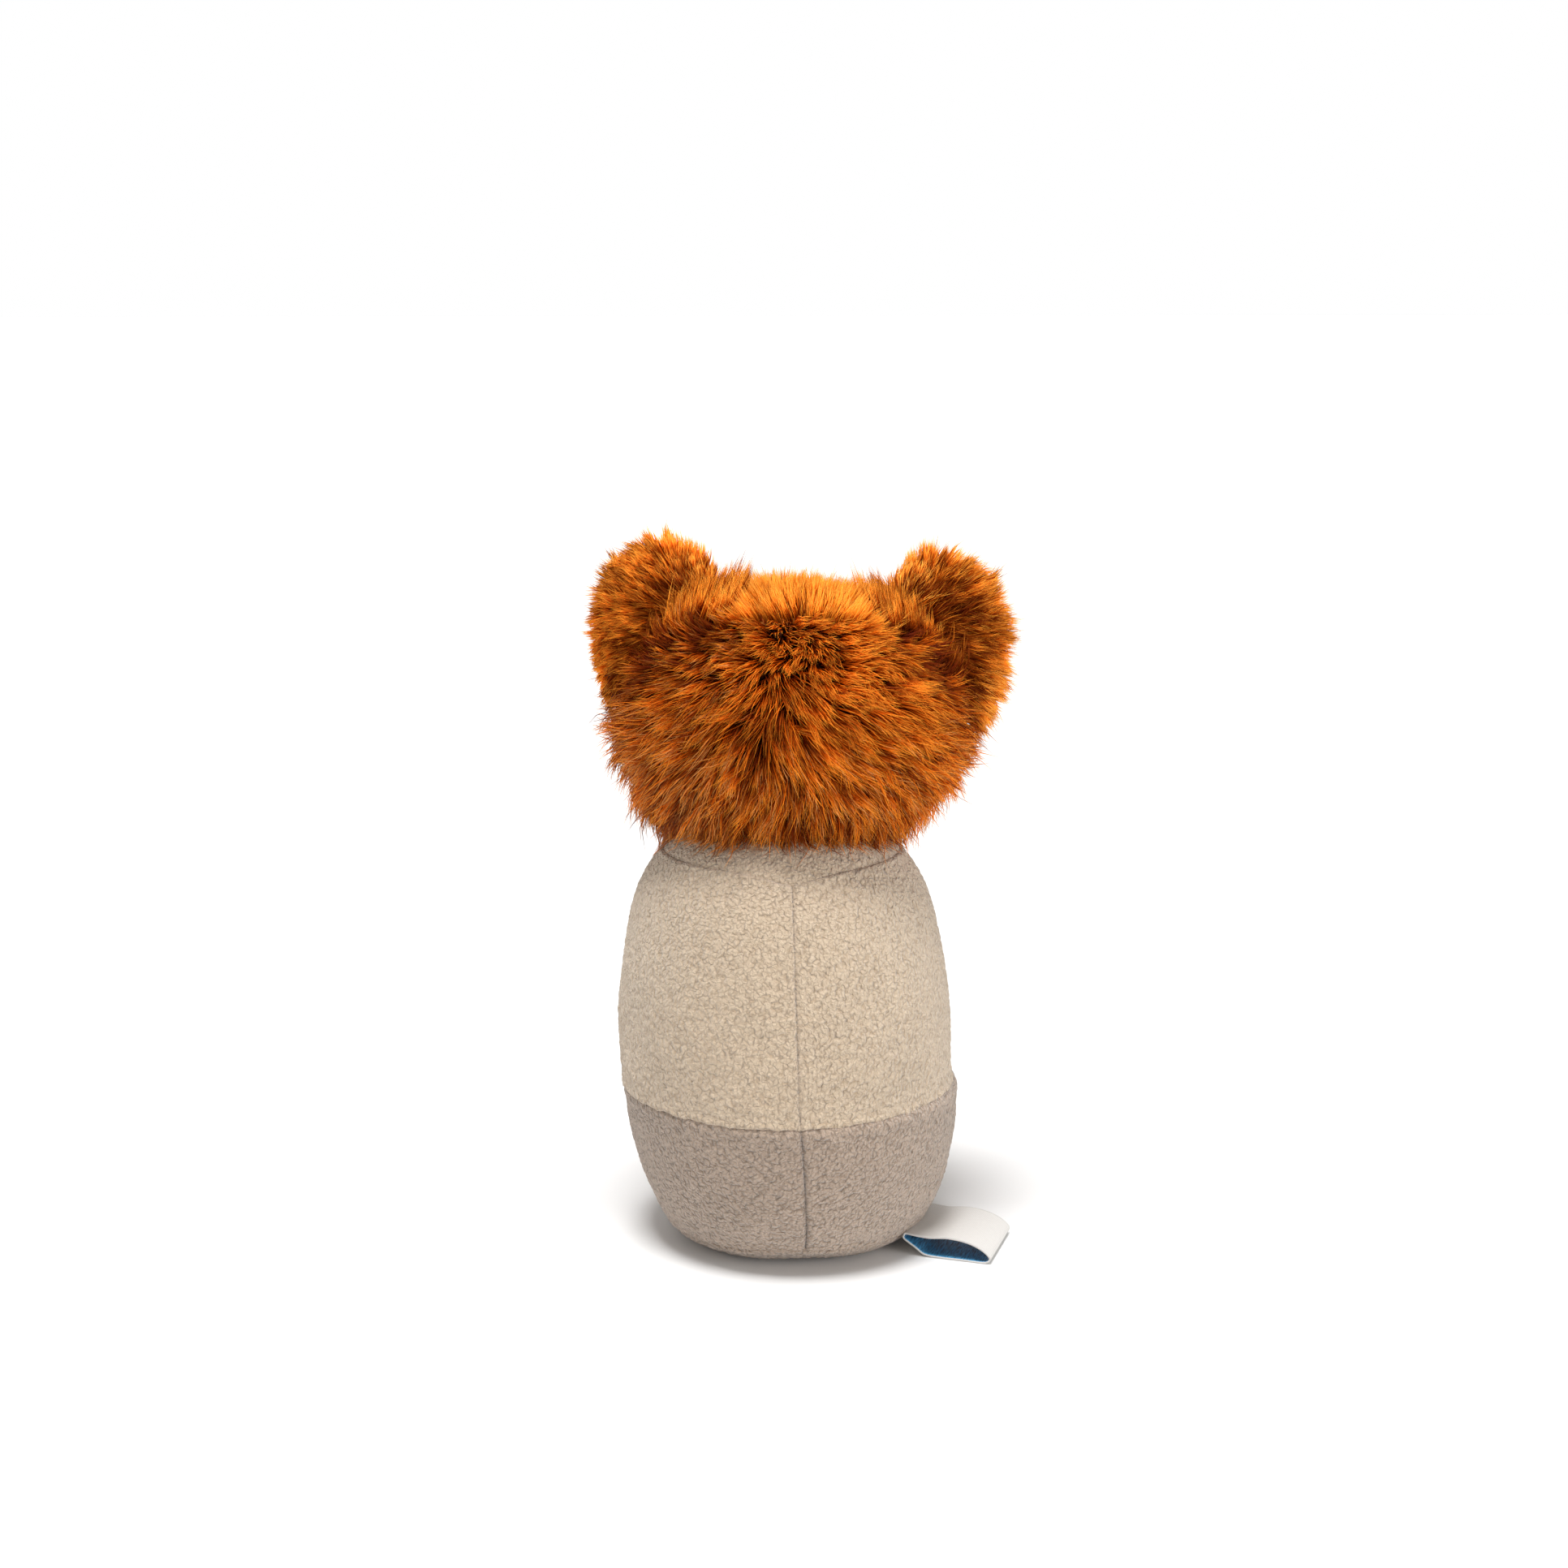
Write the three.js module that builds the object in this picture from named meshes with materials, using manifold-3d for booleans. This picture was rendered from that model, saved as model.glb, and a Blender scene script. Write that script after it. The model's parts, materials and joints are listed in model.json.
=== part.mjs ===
// A small standing plush cat: an egg-shaped fleece body with a grey toe, a furry head that turns and
// nods on a stuffed neck, two ears that fold at their roots, and a loop label in the base seam.
// Millimetres, +Z up. The origin is on the floor under the middle of the toy. The face looks along -Y,
// so the back seam is on the +Y side and the toy's own left is +X.
import * as THREE from "three";
import { mergeVertices } from "three/addons/utils/BufferGeometryUtils.js";
import Module from "manifold-3d";

const wasm = await Module();
wasm.setup();

// Fits
const GAP = 0.3; // between two pieces that are sewn, stuffed or seated together
const SLIDE = 0.6; // round the neck ball and its plug, which turn in facets

// Torso
const BASE_R = 30; // flat that the toy stands on
const BODY_R = 49.1; // widest radius of the body
const BODY_BELLY_Z = 56; // height of the widest radius
const BODY_FULLNESS = 2.6; // how quickly the foot swells above the floor
const BODY_LEAN = 1.5; // how far the stuffing pushes the belly to the toy's left
const SHOULDER_Z = 102; // where the body runs into the neck ball
const NECK_Z = 89; // centre of the neck ball
const NECK_R = 45.3; // radius of the neck ball
const FLEECE = 2.5; // fleece panel with its nap
const TOE_SEAM_Z = 47.7; // ring seam between the beige body and the grey toe
const TOE_BULGE = 0.6; // how far the toe stands proud of the ring seam
const BASE_SEAM_Z = 5.6; // ring seam between the toe and the base
const COLLAR_SEAM_Z = 118; // ring seam between the body and the collar
const COLLAR_DIP = 3; // how far the collar seam dips at the centre back
const COLLAR_DIP_WIDTH = 18; // width of that dip
const PLUG_R = 20; // stuffed plug in the neck opening
const PLUG_FLOOR_Z = 104; // lowest point of the plug
const PLUG_ROUND = 6; // rounding at the foot of the plug
const POUCH_TOP_Z = 24; // top of the pellet pouch
const POUCH_CROWN_R = 150; // radius of the pouch's crowned top

// Head
const HEAD_R = 49.8; // half width of the head
const HEAD_Z = 156; // height of the widest part, before the head is tilted
const HEAD_RISE = 38.5; // from the widest part up to the crown
const HEAD_DROP = 40; // from the widest part down to the chin line
const HEAD_DEPTH = 0.9; // front to back, as a share of the width
const CROWN_FULLNESS = 2.25; // squareness of the crown's outline
const JAW_FULLNESS = 2.1; // squareness of the jaw's outline
const HEAD_TILT = 5; // degrees that the face looks down
const HEAD_LEAN = 3.8; // degrees that the crown leans to the toy's right
const HEAD_LEAN_Z = 140; // height of the axis that it leans about
const PLUSH = 5; // long-pile panel with its pile pressed down

// Seam between the head's front and back panels, from the crown down to the neck
const CROWN_SEAM_Y = 33; // how far back the short-pile crown reaches
const CROWN_SEAM_DROP = 8; // from the crown down to that line
const TEMPLE_SEAM_Y = 13; // where the seam turns down towards the ears
const TEMPLE_SEAM_DROP = 15; // from the crown down to that turn
const EAR_SEAM_Y = 4; // where the seam passes the ears
const EAR_SEAM_RISE = 14; // from the head's widest part up to the ears' place on the seam
const CHEEK_SEAM_Y = 0.5;
const CHEEK_SEAM_DROP = 6; // from the head's widest part down to the cheek
const JAW_SEAM_Y = -3; // where the seam meets the neck

// Ears
const EAR_HALF_WIDTH = 22;
const EAR_HEIGHT = 23; // from the root's axis to the tip
const EAR_SKEW = 0.4; // how much the tip leans towards the crown
const EAR_CUP = 5; // how far the rims curl forward
const EAR_HALF_THICKNESS = 3.4; // at the root
const EAR_RIM_HALF_THICKNESS = 2.2;
const EAR_ROOT_HALF_LENGTH = 17;
const EAR_DEPTH = 5.5; // depth of the root's axis under the head's surface
const EAR_POLAR = 63.5; // degrees from the crown round to the root, about the head's middle
const EAR_LEAN = 52; // degrees that the ear leans outwards
const EAR_FOLD = 30; // degrees that an ear folds each way
const EAR_FOLD_SPARE = 2; // degrees that its groove is wider than that
const EARS = [{ name: "left", side: 1 }, { name: "right", side: -1 }];

// Face
const EYE_X = 17;
const EYE_Z = 161;
const EYE_R = 5.5;
const EYE_DOME = 3.4; // height of the dome
const EYE_SINK = 0.8; // how deep the eye sits in the pile
const SHANK_R = 1.6; // shank of an eye or nose
const SHANK_END = 5; // how far a shank runs past the inside of the panel
const WASHER_R = 6.2;
const WASHER_T = 1.2;
const WASHER_STAND = 0.45; // a flat washer's distance from the middle of the curved panel
const MUZZLE_X = 7.2; // middle of each lobe
const MUZZLE_Z = 143;
const MUZZLE_RX = 10.5;
const MUZZLE_RY = 10;
const MUZZLE_RZ = 8.6;
const NOSE_W = 11;
const NOSE_H = 7.5;
const NOSE_T = 3.6;
const NOSE_ROUND = 1.44; // rounding of the nose's rim
const NOSE_SINK = 0.4; // how deep its back lies in the muzzle
const NOSE_Z = 150.5;
const THREAD_R = 0.7; // mouth stitch
const MOUTH_REACH = 7.5; // half width of the mouth
const MOUTH_DROP = 7; // from the nose to the mouth's fork
const MOUTH_TUCK = 1; // from the nose's point down to where the stitch comes out
const MOUTH_SAG = 2.2; // how far each half of the mouth hangs below the fork

// Label
const LABEL_AZIMUTH = 158; // degrees round from the toy's left, over its back
const LABEL_WIDTH = 25.5;
const LABEL_T = 0.8;
const LABEL_REACH = 24.9; // from the seam to the fold
const LABEL_PROUD = 1.2; // how far its sewn edge stands outside the body's outline at the seam
const LABEL_ROOT_HALF = 1.0; // half height of the doubled edge in the seam
// The loop outside the seam, as shares of its reach and of its drop to the floor.
const LABEL_LOOP = [
  [0.5, -0.2], [0.72, -0.08], [0.88, 0.2], [0.98, 0.55], [1, 0.8], [0.93, 1],
  [0.67, 1], [0.4, 1], [0.22, 0.93], [0.1, 0.55],
];

// Facets
const RING = 28; // steps round a stuffed form
const FOOT_STEPS = 6; // steps up the foot, from the floor to the belly
const SHOULDER_STEPS = 4; // steps from the belly to the neck ball
const DOME_STEPS = 7; // steps over the neck ball
const HEAD_STEPS = 14; // steps from the chin to the crown
const SOCKET_RING = 40; // steps round the head's socket
const SMALL_RING = 16; // steps round an eye, a shank or a washer
const EYE_STEPS = 5; // steps over an eye's dome
const ROUND_STEPS = 3; // steps round a small corner
const EAR_COLUMNS = 8; // steps across an ear
const EAR_ROWS = 6; // steps up an ear
const LOBE_STEPS = 10; // steps over a lobe of the muzzle
const THREAD_STEPS = 5; // steps along a stretch of thread
const THREAD_SIDES = 4; // steps round each quarter of a thread
const LABEL_STEPS = 44; // steps round the label
const FAR = 160; // reach of a cutting block
const NEAR = 1e-4; // corners closer than this are one
const PROBE = 0.05; // step of a search along a surface

const rad = THREE.MathUtils.degToRad;

const FINISH = {
  beige: { color: 0xd6c6b2, roughness: 0.95, metalness: 0 },
  grey: { color: 0xb2a294, roughness: 0.95, metalness: 0 },
  fur: { color: 0xb85f16, roughness: 0.85, metalness: 0 },
  crown: { color: 0xdd8427, roughness: 0.85, metalness: 0 },
  lining: { color: 0xe0a268, roughness: 0.9, metalness: 0 },
  cream: { color: 0xeadbc4, roughness: 0.9, metalness: 0 },
  black: { color: 0x14110f, roughness: 0.15, metalness: 0 },
  thread: { color: 0x3b2416, roughness: 0.8, metalness: 0 },
  washer: { color: 0xe6e4de, roughness: 0.5, metalness: 0 },
  filling: { color: 0xf4f2ee, roughness: 1, metalness: 0 },
  label: { color: 0xe8e4e0, roughness: 0.8, metalness: 0 },
};

// Solids

function solid(geometry) {
  const bare = geometry.clone();
  bare.deleteAttribute("normal");
  bare.deleteAttribute("uv");
  const merged = mergeVertices(bare, NEAR);
  const kept = [];
  const index = merged.index.array;
  for (let i = 0; i < index.length; i += 3) {
    const [a, b, c] = [index[i], index[i + 1], index[i + 2]];
    if (a !== b && b !== c && c !== a) kept.push(a, b, c);
  }
  return new wasm.Manifold(
    new wasm.Mesh({
      numProp: 3,
      vertProperties: merged.attributes.position.array,
      triVerts: new Uint32Array(kept),
    }),
  );
}

function geometryOf(body) {
  const mesh = body.getMesh();
  const geometry = new THREE.BufferGeometry();
  geometry.setAttribute("position", new THREE.BufferAttribute(mesh.vertProperties, 3));
  geometry.setIndex(new THREE.BufferAttribute(mesh.triVerts, 1));
  geometry.computeVertexNormals();
  return geometry;
}

function block(x0, x1, y0, y1, z0, z1) {
  const geometry = new THREE.BoxGeometry(x1 - x0, y1 - y0, z1 - z0);
  return solid(geometry.translate((x0 + x1) / 2, (y0 + y1) / 2, (z0 + z1) / 2));
}

function ball(radius, z) {
  const sphere = new THREE.SphereGeometry(radius, SOCKET_RING, SOCKET_RING / 2);
  return solid(sphere.rotateX(Math.PI / 2).translate(0, 0, z));
}

// A prism from an outline of [across, up] points: across is X for facing "y", and Y for facing "x".
function prism(outline, facing, from, to) {
  const shape = new THREE.Shape(outline.map(([a, b]) => new THREE.Vector2(a, b)));
  const geometry = new THREE.ExtrudeGeometry(shape, { depth: to - from, bevelEnabled: false });
  const across = facing === "x" ? new THREE.Vector3(0, 1, 0) : new THREE.Vector3(1, 0, 0);
  const up = new THREE.Vector3(0, 0, 1);
  const along = new THREE.Vector3().crossVectors(across, up);
  geometry.applyMatrix4(new THREE.Matrix4().makeBasis(across, up, along));
  return solid(facing === "x" ? geometry.translate(from, 0, 0) : geometry.translate(0, to, 0));
}

// Turns an outline of [radius, height] points, from the bottom of the axis to the top, about Z.
function turned(outline, steps = RING) {
  const points = outline.map(([r, z]) => new THREE.Vector2(Math.max(r, 0), z));
  return new THREE.LatheGeometry(points, steps).rotateX(Math.PI / 2);
}

// The outline moved inwards by a distance, square to itself.
function inset(outline, distance) {
  const last = outline.length - 1;
  return outline.map(([r, z], i) => {
    if (i === 0) return [0, z + distance];
    if (i === last) return [0, z - distance];
    const [r0, z0] = outline[i - 1];
    const [r1, z1] = outline[i + 1];
    const length = Math.hypot(r1 - r0, z1 - z0);
    return [r - (distance * (z1 - z0)) / length, z + (distance * (r1 - r0)) / length];
  });
}

// Torso

function footRadius(z) {
  const share = 1 - Math.pow(1 - z / BODY_BELLY_Z, BODY_FULLNESS);
  return BASE_R + (BODY_R - BASE_R) * Math.sqrt(share);
}

function shoulderRadius(z) {
  const end = Math.sqrt(NECK_R ** 2 - (SHOULDER_Z - NECK_Z) ** 2);
  const slope = (SHOULDER_Z - NECK_Z) / end;
  const reach = SHOULDER_Z - BODY_BELLY_Z;
  const power = (slope * reach) / (BODY_R - end);
  return BODY_R - (BODY_R - end) * Math.pow((z - BODY_BELLY_Z) / reach, power);
}

function torsoOutline() {
  const outline = [[0, 0]];
  for (let i = 0; i <= FOOT_STEPS; i++) {
    const z = BODY_BELLY_Z * Math.pow(i / FOOT_STEPS, 2);
    outline.push([footRadius(z), z]);
  }
  for (let i = 1; i <= SHOULDER_STEPS; i++) {
    const z = BODY_BELLY_Z + ((SHOULDER_Z - BODY_BELLY_Z) * i) / SHOULDER_STEPS;
    outline.push([shoulderRadius(z), z]);
  }
  const start = Math.acos((SHOULDER_Z - NECK_Z) / NECK_R);
  for (let i = 1; i <= DOME_STEPS; i++) {
    const polar = start * (1 - i / DOME_STEPS);
    outline.push([NECK_R * Math.sin(polar), NECK_Z + NECK_R * Math.cos(polar)]);
  }
  return outline;
}

// Pushes the belly sideways, with no shift at the floor or above the shoulder.
function leaned(geometry) {
  const position = geometry.getAttribute("position");
  for (let i = 0; i < position.count; i++) {
    const share = THREE.MathUtils.clamp(position.getZ(i) / SHOULDER_Z, 0, 1);
    position.setX(i, position.getX(i) + BODY_LEAN * Math.sin(Math.PI * share) ** 2);
  }
  return geometry;
}

// The toe's outline stands proud of the body's, and falls back to it at the base seam.
function toeOutline(outline) {
  return outline.map(([r, z]) => {
    const share = THREE.MathUtils.clamp((z - BASE_SEAM_Z) / (TOE_SEAM_Z - BASE_SEAM_Z), 0, 1);
    return [r + (r > 0 ? TOE_BULGE * Math.sin((Math.PI * share) / 2) : 0), z];
  });
}

function plugOutline(grow) {
  const top = NECK_R;
  const side = PLUG_R + grow;
  const floor = PLUG_FLOOR_Z - grow;
  const outline = [[0, floor]];
  for (let i = 0; i <= ROUND_STEPS; i++) {
    const turn = (Math.PI / 2) * (i / ROUND_STEPS);
    outline.push([side - PLUG_ROUND * (1 - Math.sin(turn)), floor + PLUG_ROUND * (1 - Math.cos(turn))]);
  }
  const start = Math.asin(side / top);
  for (let i = 0; i <= DOME_STEPS; i++) {
    const polar = start * (1 - i / DOME_STEPS);
    outline.push([top * Math.sin(polar), NECK_Z + top * Math.cos(polar)]);
  }
  return outline;
}

function labelRootRadius() {
  return footRadius(BASE_SEAM_Z) + LABEL_PROUD;
}

function labelNotch() {
  const radius = LABEL_ROOT_HALF + LABEL_T / 2 + GAP;
  const notch = new THREE.CylinderGeometry(radius, radius, LABEL_WIDTH + 2 * GAP, SMALL_RING);
  return solid(notch.translate(labelRootRadius(), 0, BASE_SEAM_Z).rotateZ(rad(LABEL_AZIMUTH)));
}

function torsoPieces() {
  const outline = torsoOutline();
  const skinOf = (shape) => {
    const outer = solid(leaned(turned(shape)));
    return outer.subtract(solid(leaned(turned(inset(outline, FLEECE)))));
  };
  const holeR = PLUG_R + SLIDE;
  const neckHole = solid(turned([[0, NECK_Z], [holeR, NECK_Z], [holeR, FAR], [0, FAR]]));
  const skin = skinOf(outline).subtract(neckHole);
  const toeSkin = skinOf(toeOutline(outline)).subtract(labelNotch());
  const filling = solid(leaned(turned(inset(outline, FLEECE + GAP))));
  const half = GAP / 2;

  const level = COLLAR_SEAM_Z;
  const dip = [[-FAR, level], [-COLLAR_DIP_WIDTH / 2, level], [0, level - COLLAR_DIP]];
  const edge = [...dip, [COLLAR_DIP_WIDTH / 2, level], [FAR, level]];
  const shifted = (shift) => edge.map(([x, z]) => [x, z + shift]);
  const aboveCollar = prism([...shifted(half), [FAR, FAR], [-FAR, FAR]], "y", 0, FAR)
    .add(block(-FAR, FAR, -FAR, 0, level + half, FAR));
  const belowCollar = prism([...shifted(-half).reverse(), [-FAR, 0], [FAR, 0]], "y", 0, FAR)
    .add(block(-FAR, FAR, -FAR, 0, 0, level - half));
  const bodyBand = block(-FAR, FAR, -FAR, FAR, TOE_SEAM_Z + half, FAR).intersect(belowCollar);
  const toeBand = block(-FAR, FAR, -FAR, FAR, BASE_SEAM_Z + half, TOE_SEAM_Z - half);
  const baseBand = block(-FAR, FAR, -FAR, FAR, -GAP, BASE_SEAM_Z - half);
  const sides = {
    left: block(half, FAR, -FAR, FAR, -GAP, FAR),
    right: block(-FAR, -half, -FAR, FAR, -GAP, FAR),
  };

  const pieces = {};
  for (const [side, room] of Object.entries(sides)) {
    pieces["body_panel_" + side] = [skin.intersect(bodyBand).intersect(room), FINISH.beige];
    pieces["toe_panel_" + side] = [toeSkin.intersect(toeBand).intersect(room), FINISH.grey];
  }
  const crownOfPouch = (grow) => ball(POUCH_CROWN_R + grow, POUCH_TOP_Z - POUCH_CROWN_R);
  pieces.base_disc = [toeSkin.intersect(baseBand), FINISH.grey];
  pieces.neck_collar = [skin.intersect(aboveCollar), FINISH.beige];
  pieces.pellet_pouch = [filling.intersect(crownOfPouch(0)), FINISH.filling];
  pieces.body_stuffing = [
    filling.subtract(crownOfPouch(GAP)).subtract(solid(turned(plugOutline(SLIDE)))).subtract(neckHole),
    FINISH.filling,
  ];
  pieces.neck_stuffing = [solid(turned(plugOutline(0))), FINISH.filling];
  return pieces;
}

// Head, built upright, then leaned and tilted with its groups

function headRadius(z) {
  const up = z >= HEAD_Z;
  const share = Math.min(Math.abs(z - HEAD_Z) / (up ? HEAD_RISE : HEAD_DROP), 1);
  const power = up ? CROWN_FULLNESS : JAW_FULLNESS;
  return HEAD_R * Math.pow(1 - Math.pow(share, power), 1 / power);
}

function headOutline() {
  const outline = [];
  for (let i = 0; i <= HEAD_STEPS; i++) {
    const turn = Math.PI * (i / HEAD_STEPS - 0.5);
    const z = HEAD_Z + (turn < 0 ? HEAD_DROP : HEAD_RISE) * Math.sin(turn);
    outline.push([headRadius(z), z]);
  }
  return outline;
}

function headForm(distance) {
  const outline = distance ? inset(headOutline(), distance) : headOutline();
  return turned(outline).scale(1, HEAD_DEPTH, 1);
}

// A point on the front of the head and the direction square to it there.
function faceSeat(x, z) {
  const reach = (h, v) => HEAD_DEPTH * Math.sqrt(headRadius(v) ** 2 - h ** 2);
  const slopeX = (reach(x + PROBE, z) - reach(x - PROBE, z)) / (2 * PROBE);
  const slopeZ = (reach(x, z + PROBE) - reach(x, z - PROBE)) / (2 * PROBE);
  return {
    point: new THREE.Vector3(x, -reach(x, z), z),
    normal: new THREE.Vector3(-slopeX, -1, -slopeZ).normalize(),
  };
}

// Sets a form that was made along +Y onto a seat.
function seated(geometry, seat) {
  const turn = new THREE.Quaternion().setFromUnitVectors(new THREE.Vector3(0, 1, 0), seat.normal);
  return geometry.applyMatrix4(new THREE.Matrix4().compose(seat.point, turn, new THREE.Vector3(1, 1, 1)));
}

function along(outline, steps) {
  return new THREE.LatheGeometry(outline.map(([r, y]) => new THREE.Vector2(r, y)), steps);
}

// A dome on a shank; with grow it is the room that the eye needs.
function eyeForm(grow) {
  const foot = -(PLUSH + SHANK_END) - grow;
  const back = -EYE_SINK - grow;
  const outline = [[0, foot], [SHANK_R + grow, foot], [SHANK_R + grow, back], [EYE_R + grow, back]];
  const dome = EYE_DOME + EYE_SINK + 2 * grow;
  for (let i = 1; i <= EYE_STEPS; i++) {
    const turn = (Math.PI / 2) * (i / EYE_STEPS);
    outline.push([(EYE_R + grow) * Math.cos(turn), back + dome * Math.sin(turn)]);
  }
  outline[outline.length - 1][0] = 0;
  return along(outline, SMALL_RING);
}

// A lock washer behind the panel; with grow it is the room that the washer needs.
function washerForm(depth, grow) {
  const bore = grow ? 0 : SHANK_R + GAP;
  const [front, back] = [-depth + grow, -depth - WASHER_T - grow];
  const rim = WASHER_R + grow;
  const ring = [[bore, back], [rim, back], [rim, front], [bore, front]];
  return along(grow ? ring : [...ring, ring[0]], SMALL_RING);
}

// A rounded triangle, point down, whose widest line lies halfway up its upper half.
function noseOutline(grow) {
  const [w, h] = [NOSE_W / 2 + grow, NOSE_H / 2 + grow];
  const [bend, cheek, widest] = [w / 2, h / 10, h / 2];
  const shape = new THREE.Shape();
  shape.moveTo(0, -h);
  shape.bezierCurveTo(-bend, -h, -w, cheek, -w, widest);
  shape.bezierCurveTo(-w, h, -bend, h, 0, h);
  shape.bezierCurveTo(bend, h, w, h, w, widest);
  shape.bezierCurveTo(w, cheek, bend, -h, 0, -h);
  return shape;
}

// The nose faces +Z in its own frame, with its shank behind it.
function noseForm(grow, shankEnd) {
  const pad = new THREE.ExtrudeGeometry(noseOutline(grow - NOSE_ROUND), {
    depth: NOSE_T - 2 * NOSE_ROUND + 2 * grow,
    bevelThickness: NOSE_ROUND,
    bevelSize: NOSE_ROUND,
    bevelSegments: ROUND_STEPS,
    curveSegments: EYE_STEPS,
  }).translate(0, 0, NOSE_ROUND - grow);
  const length = shankEnd + NOSE_T / 2 + grow;
  const shank = new THREE.CylinderGeometry(SHANK_R + grow, SHANK_R + grow, length, SMALL_RING);
  shank.rotateX(Math.PI / 2).translate(0, 0, NOSE_T / 2 - length / 2);
  return solid(pad).add(solid(shank));
}

function placed(body, matrix) {
  return body.transform(matrix.elements);
}

function tube(points, radius) {
  const path = new THREE.CatmullRomCurve3(points, false, "centripetal");
  const section = new THREE.Shape();
  section.absarc(0, 0, radius, 0, 2 * Math.PI);
  const options = { extrudePath: path, steps: THREAD_STEPS, curveSegments: THREAD_SIDES };
  return solid(new THREE.ExtrudeGeometry(section, { ...options, bevelEnabled: false }));
}

// Face

function muzzleFront() {
  return -HEAD_DEPTH * headRadius(MUZZLE_Z);
}

// How far forward the muzzle's lobes reach at a place on the face.
function muzzleY(x, z) {
  const across = (Math.abs(x) - MUZZLE_X) / MUZZLE_RX;
  const up = (z - MUZZLE_Z) / MUZZLE_RZ;
  return muzzleFront() - MUZZLE_RY * Math.sqrt(Math.max(1 - across ** 2 - up ** 2, 0));
}

// A stitch down from the nose, which forks into two sagging halves that end past their lowest point.
function mouthThread(radius) {
  const top = NOSE_Z - NOSE_H / 2;
  const fork = top - MOUTH_DROP;
  const at = (x, z) => new THREE.Vector3(x, muzzleY(x, z), z);
  let thread = tube([at(0, top - MOUTH_TUCK), at(0, (top + fork) / 2), at(0, fork)], radius);
  const [lowest, end] = [0.8, 3];
  for (const side of [-1, 1]) {
    const half = [];
    for (let i = 0; i <= end; i++) {
      const share = i / end;
      const sag = MOUTH_SAG * Math.sin(((Math.PI / 2) * share) / lowest);
      half.push(at(side * MOUTH_REACH * share, fork - sag));
    }
    thread = thread.add(tube(half, radius));
  }
  return thread;
}

function facePieces(pieces, hollows) {
  const depth = PLUSH + GAP + WASHER_STAND;
  for (const [name, side] of [["left", 1], ["right", -1]]) {
    const seat = faceSeat(side * EYE_X, EYE_Z);
    pieces[name + "_eye"] = [solid(seated(eyeForm(0), seat)), FINISH.black];
    pieces[name + "_eye_washer"] = [solid(seated(washerForm(depth, 0), seat)), FINISH.washer];
    hollows.push(solid(seated(eyeForm(GAP), seat)), solid(seated(washerForm(depth, GAP), seat)));
  }

  const noseFrame = new THREE.Matrix4()
    .makeBasis(new THREE.Vector3(1, 0, 0), new THREE.Vector3(0, 0, 1), new THREE.Vector3(0, -1, 0))
    .setPosition(0, muzzleY(0, NOSE_Z - NOSE_H / 4) + NOSE_SINK, NOSE_Z);
  const behind = new THREE.Vector3().setFromMatrixPosition(noseFrame).y;
  const panelY = -HEAD_DEPTH * headRadius(NOSE_Z) + PLUSH;
  const shankEnd = panelY - behind + SHANK_END;
  const washerSeat = {
    point: new THREE.Vector3(0, panelY + GAP + WASHER_STAND, NOSE_Z),
    normal: new THREE.Vector3(0, -1, 0),
  };
  const noseRoom = placed(noseForm(GAP, shankEnd + GAP), noseFrame);
  pieces.nose = [placed(noseForm(0, shankEnd), noseFrame), FINISH.black];
  pieces.nose_washer = [solid(seated(washerForm(0, 0), washerSeat)), FINISH.washer];
  hollows.push(noseRoom, solid(seated(washerForm(0, GAP), washerSeat)));

  const lobe = (side) => solid(new THREE.SphereGeometry(1, SMALL_RING, LOBE_STEPS)
    .scale(MUZZLE_RX, MUZZLE_RY, MUZZLE_RZ)
    .translate(side * MUZZLE_X, muzzleFront(), MUZZLE_Z));
  const face = solid(headForm(-GAP));
  const muzzle = lobe(-1).add(lobe(1)).subtract(face).subtract(noseRoom);
  pieces.muzzle = [muzzle.subtract(mouthThread(THREAD_R + GAP)), FINISH.cream];
  pieces.mouth_stitch = [mouthThread(THREAD_R).subtract(face).subtract(noseRoom), FINISH.thread];
}

// Ears

// The frame of an ear: X runs along its root, Y up the ear and Z to its back.
function earFrame(ear) {
  const [polar, lean] = [rad(EAR_POLAR), rad(EAR_LEAN)];
  let reach = 0;
  while (reach * Math.sin(polar) < headRadius(HEAD_Z + reach * Math.cos(polar))) reach += PROBE;
  const up = new THREE.Vector3(ear.side * Math.sin(lean), 0, Math.cos(lean));
  const back = new THREE.Vector3(0, 1, 0);
  const root = new THREE.Vector3().crossVectors(up, back);
  const middle = new THREE.Vector3(
    ear.side * reach * Math.sin(polar), EAR_SEAM_Y, HEAD_Z + reach * Math.cos(polar));
  middle.addScaledVector(up, -EAR_DEPTH);
  return new THREE.Matrix4().makeBasis(root, up, back).setPosition(middle);
}

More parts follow.
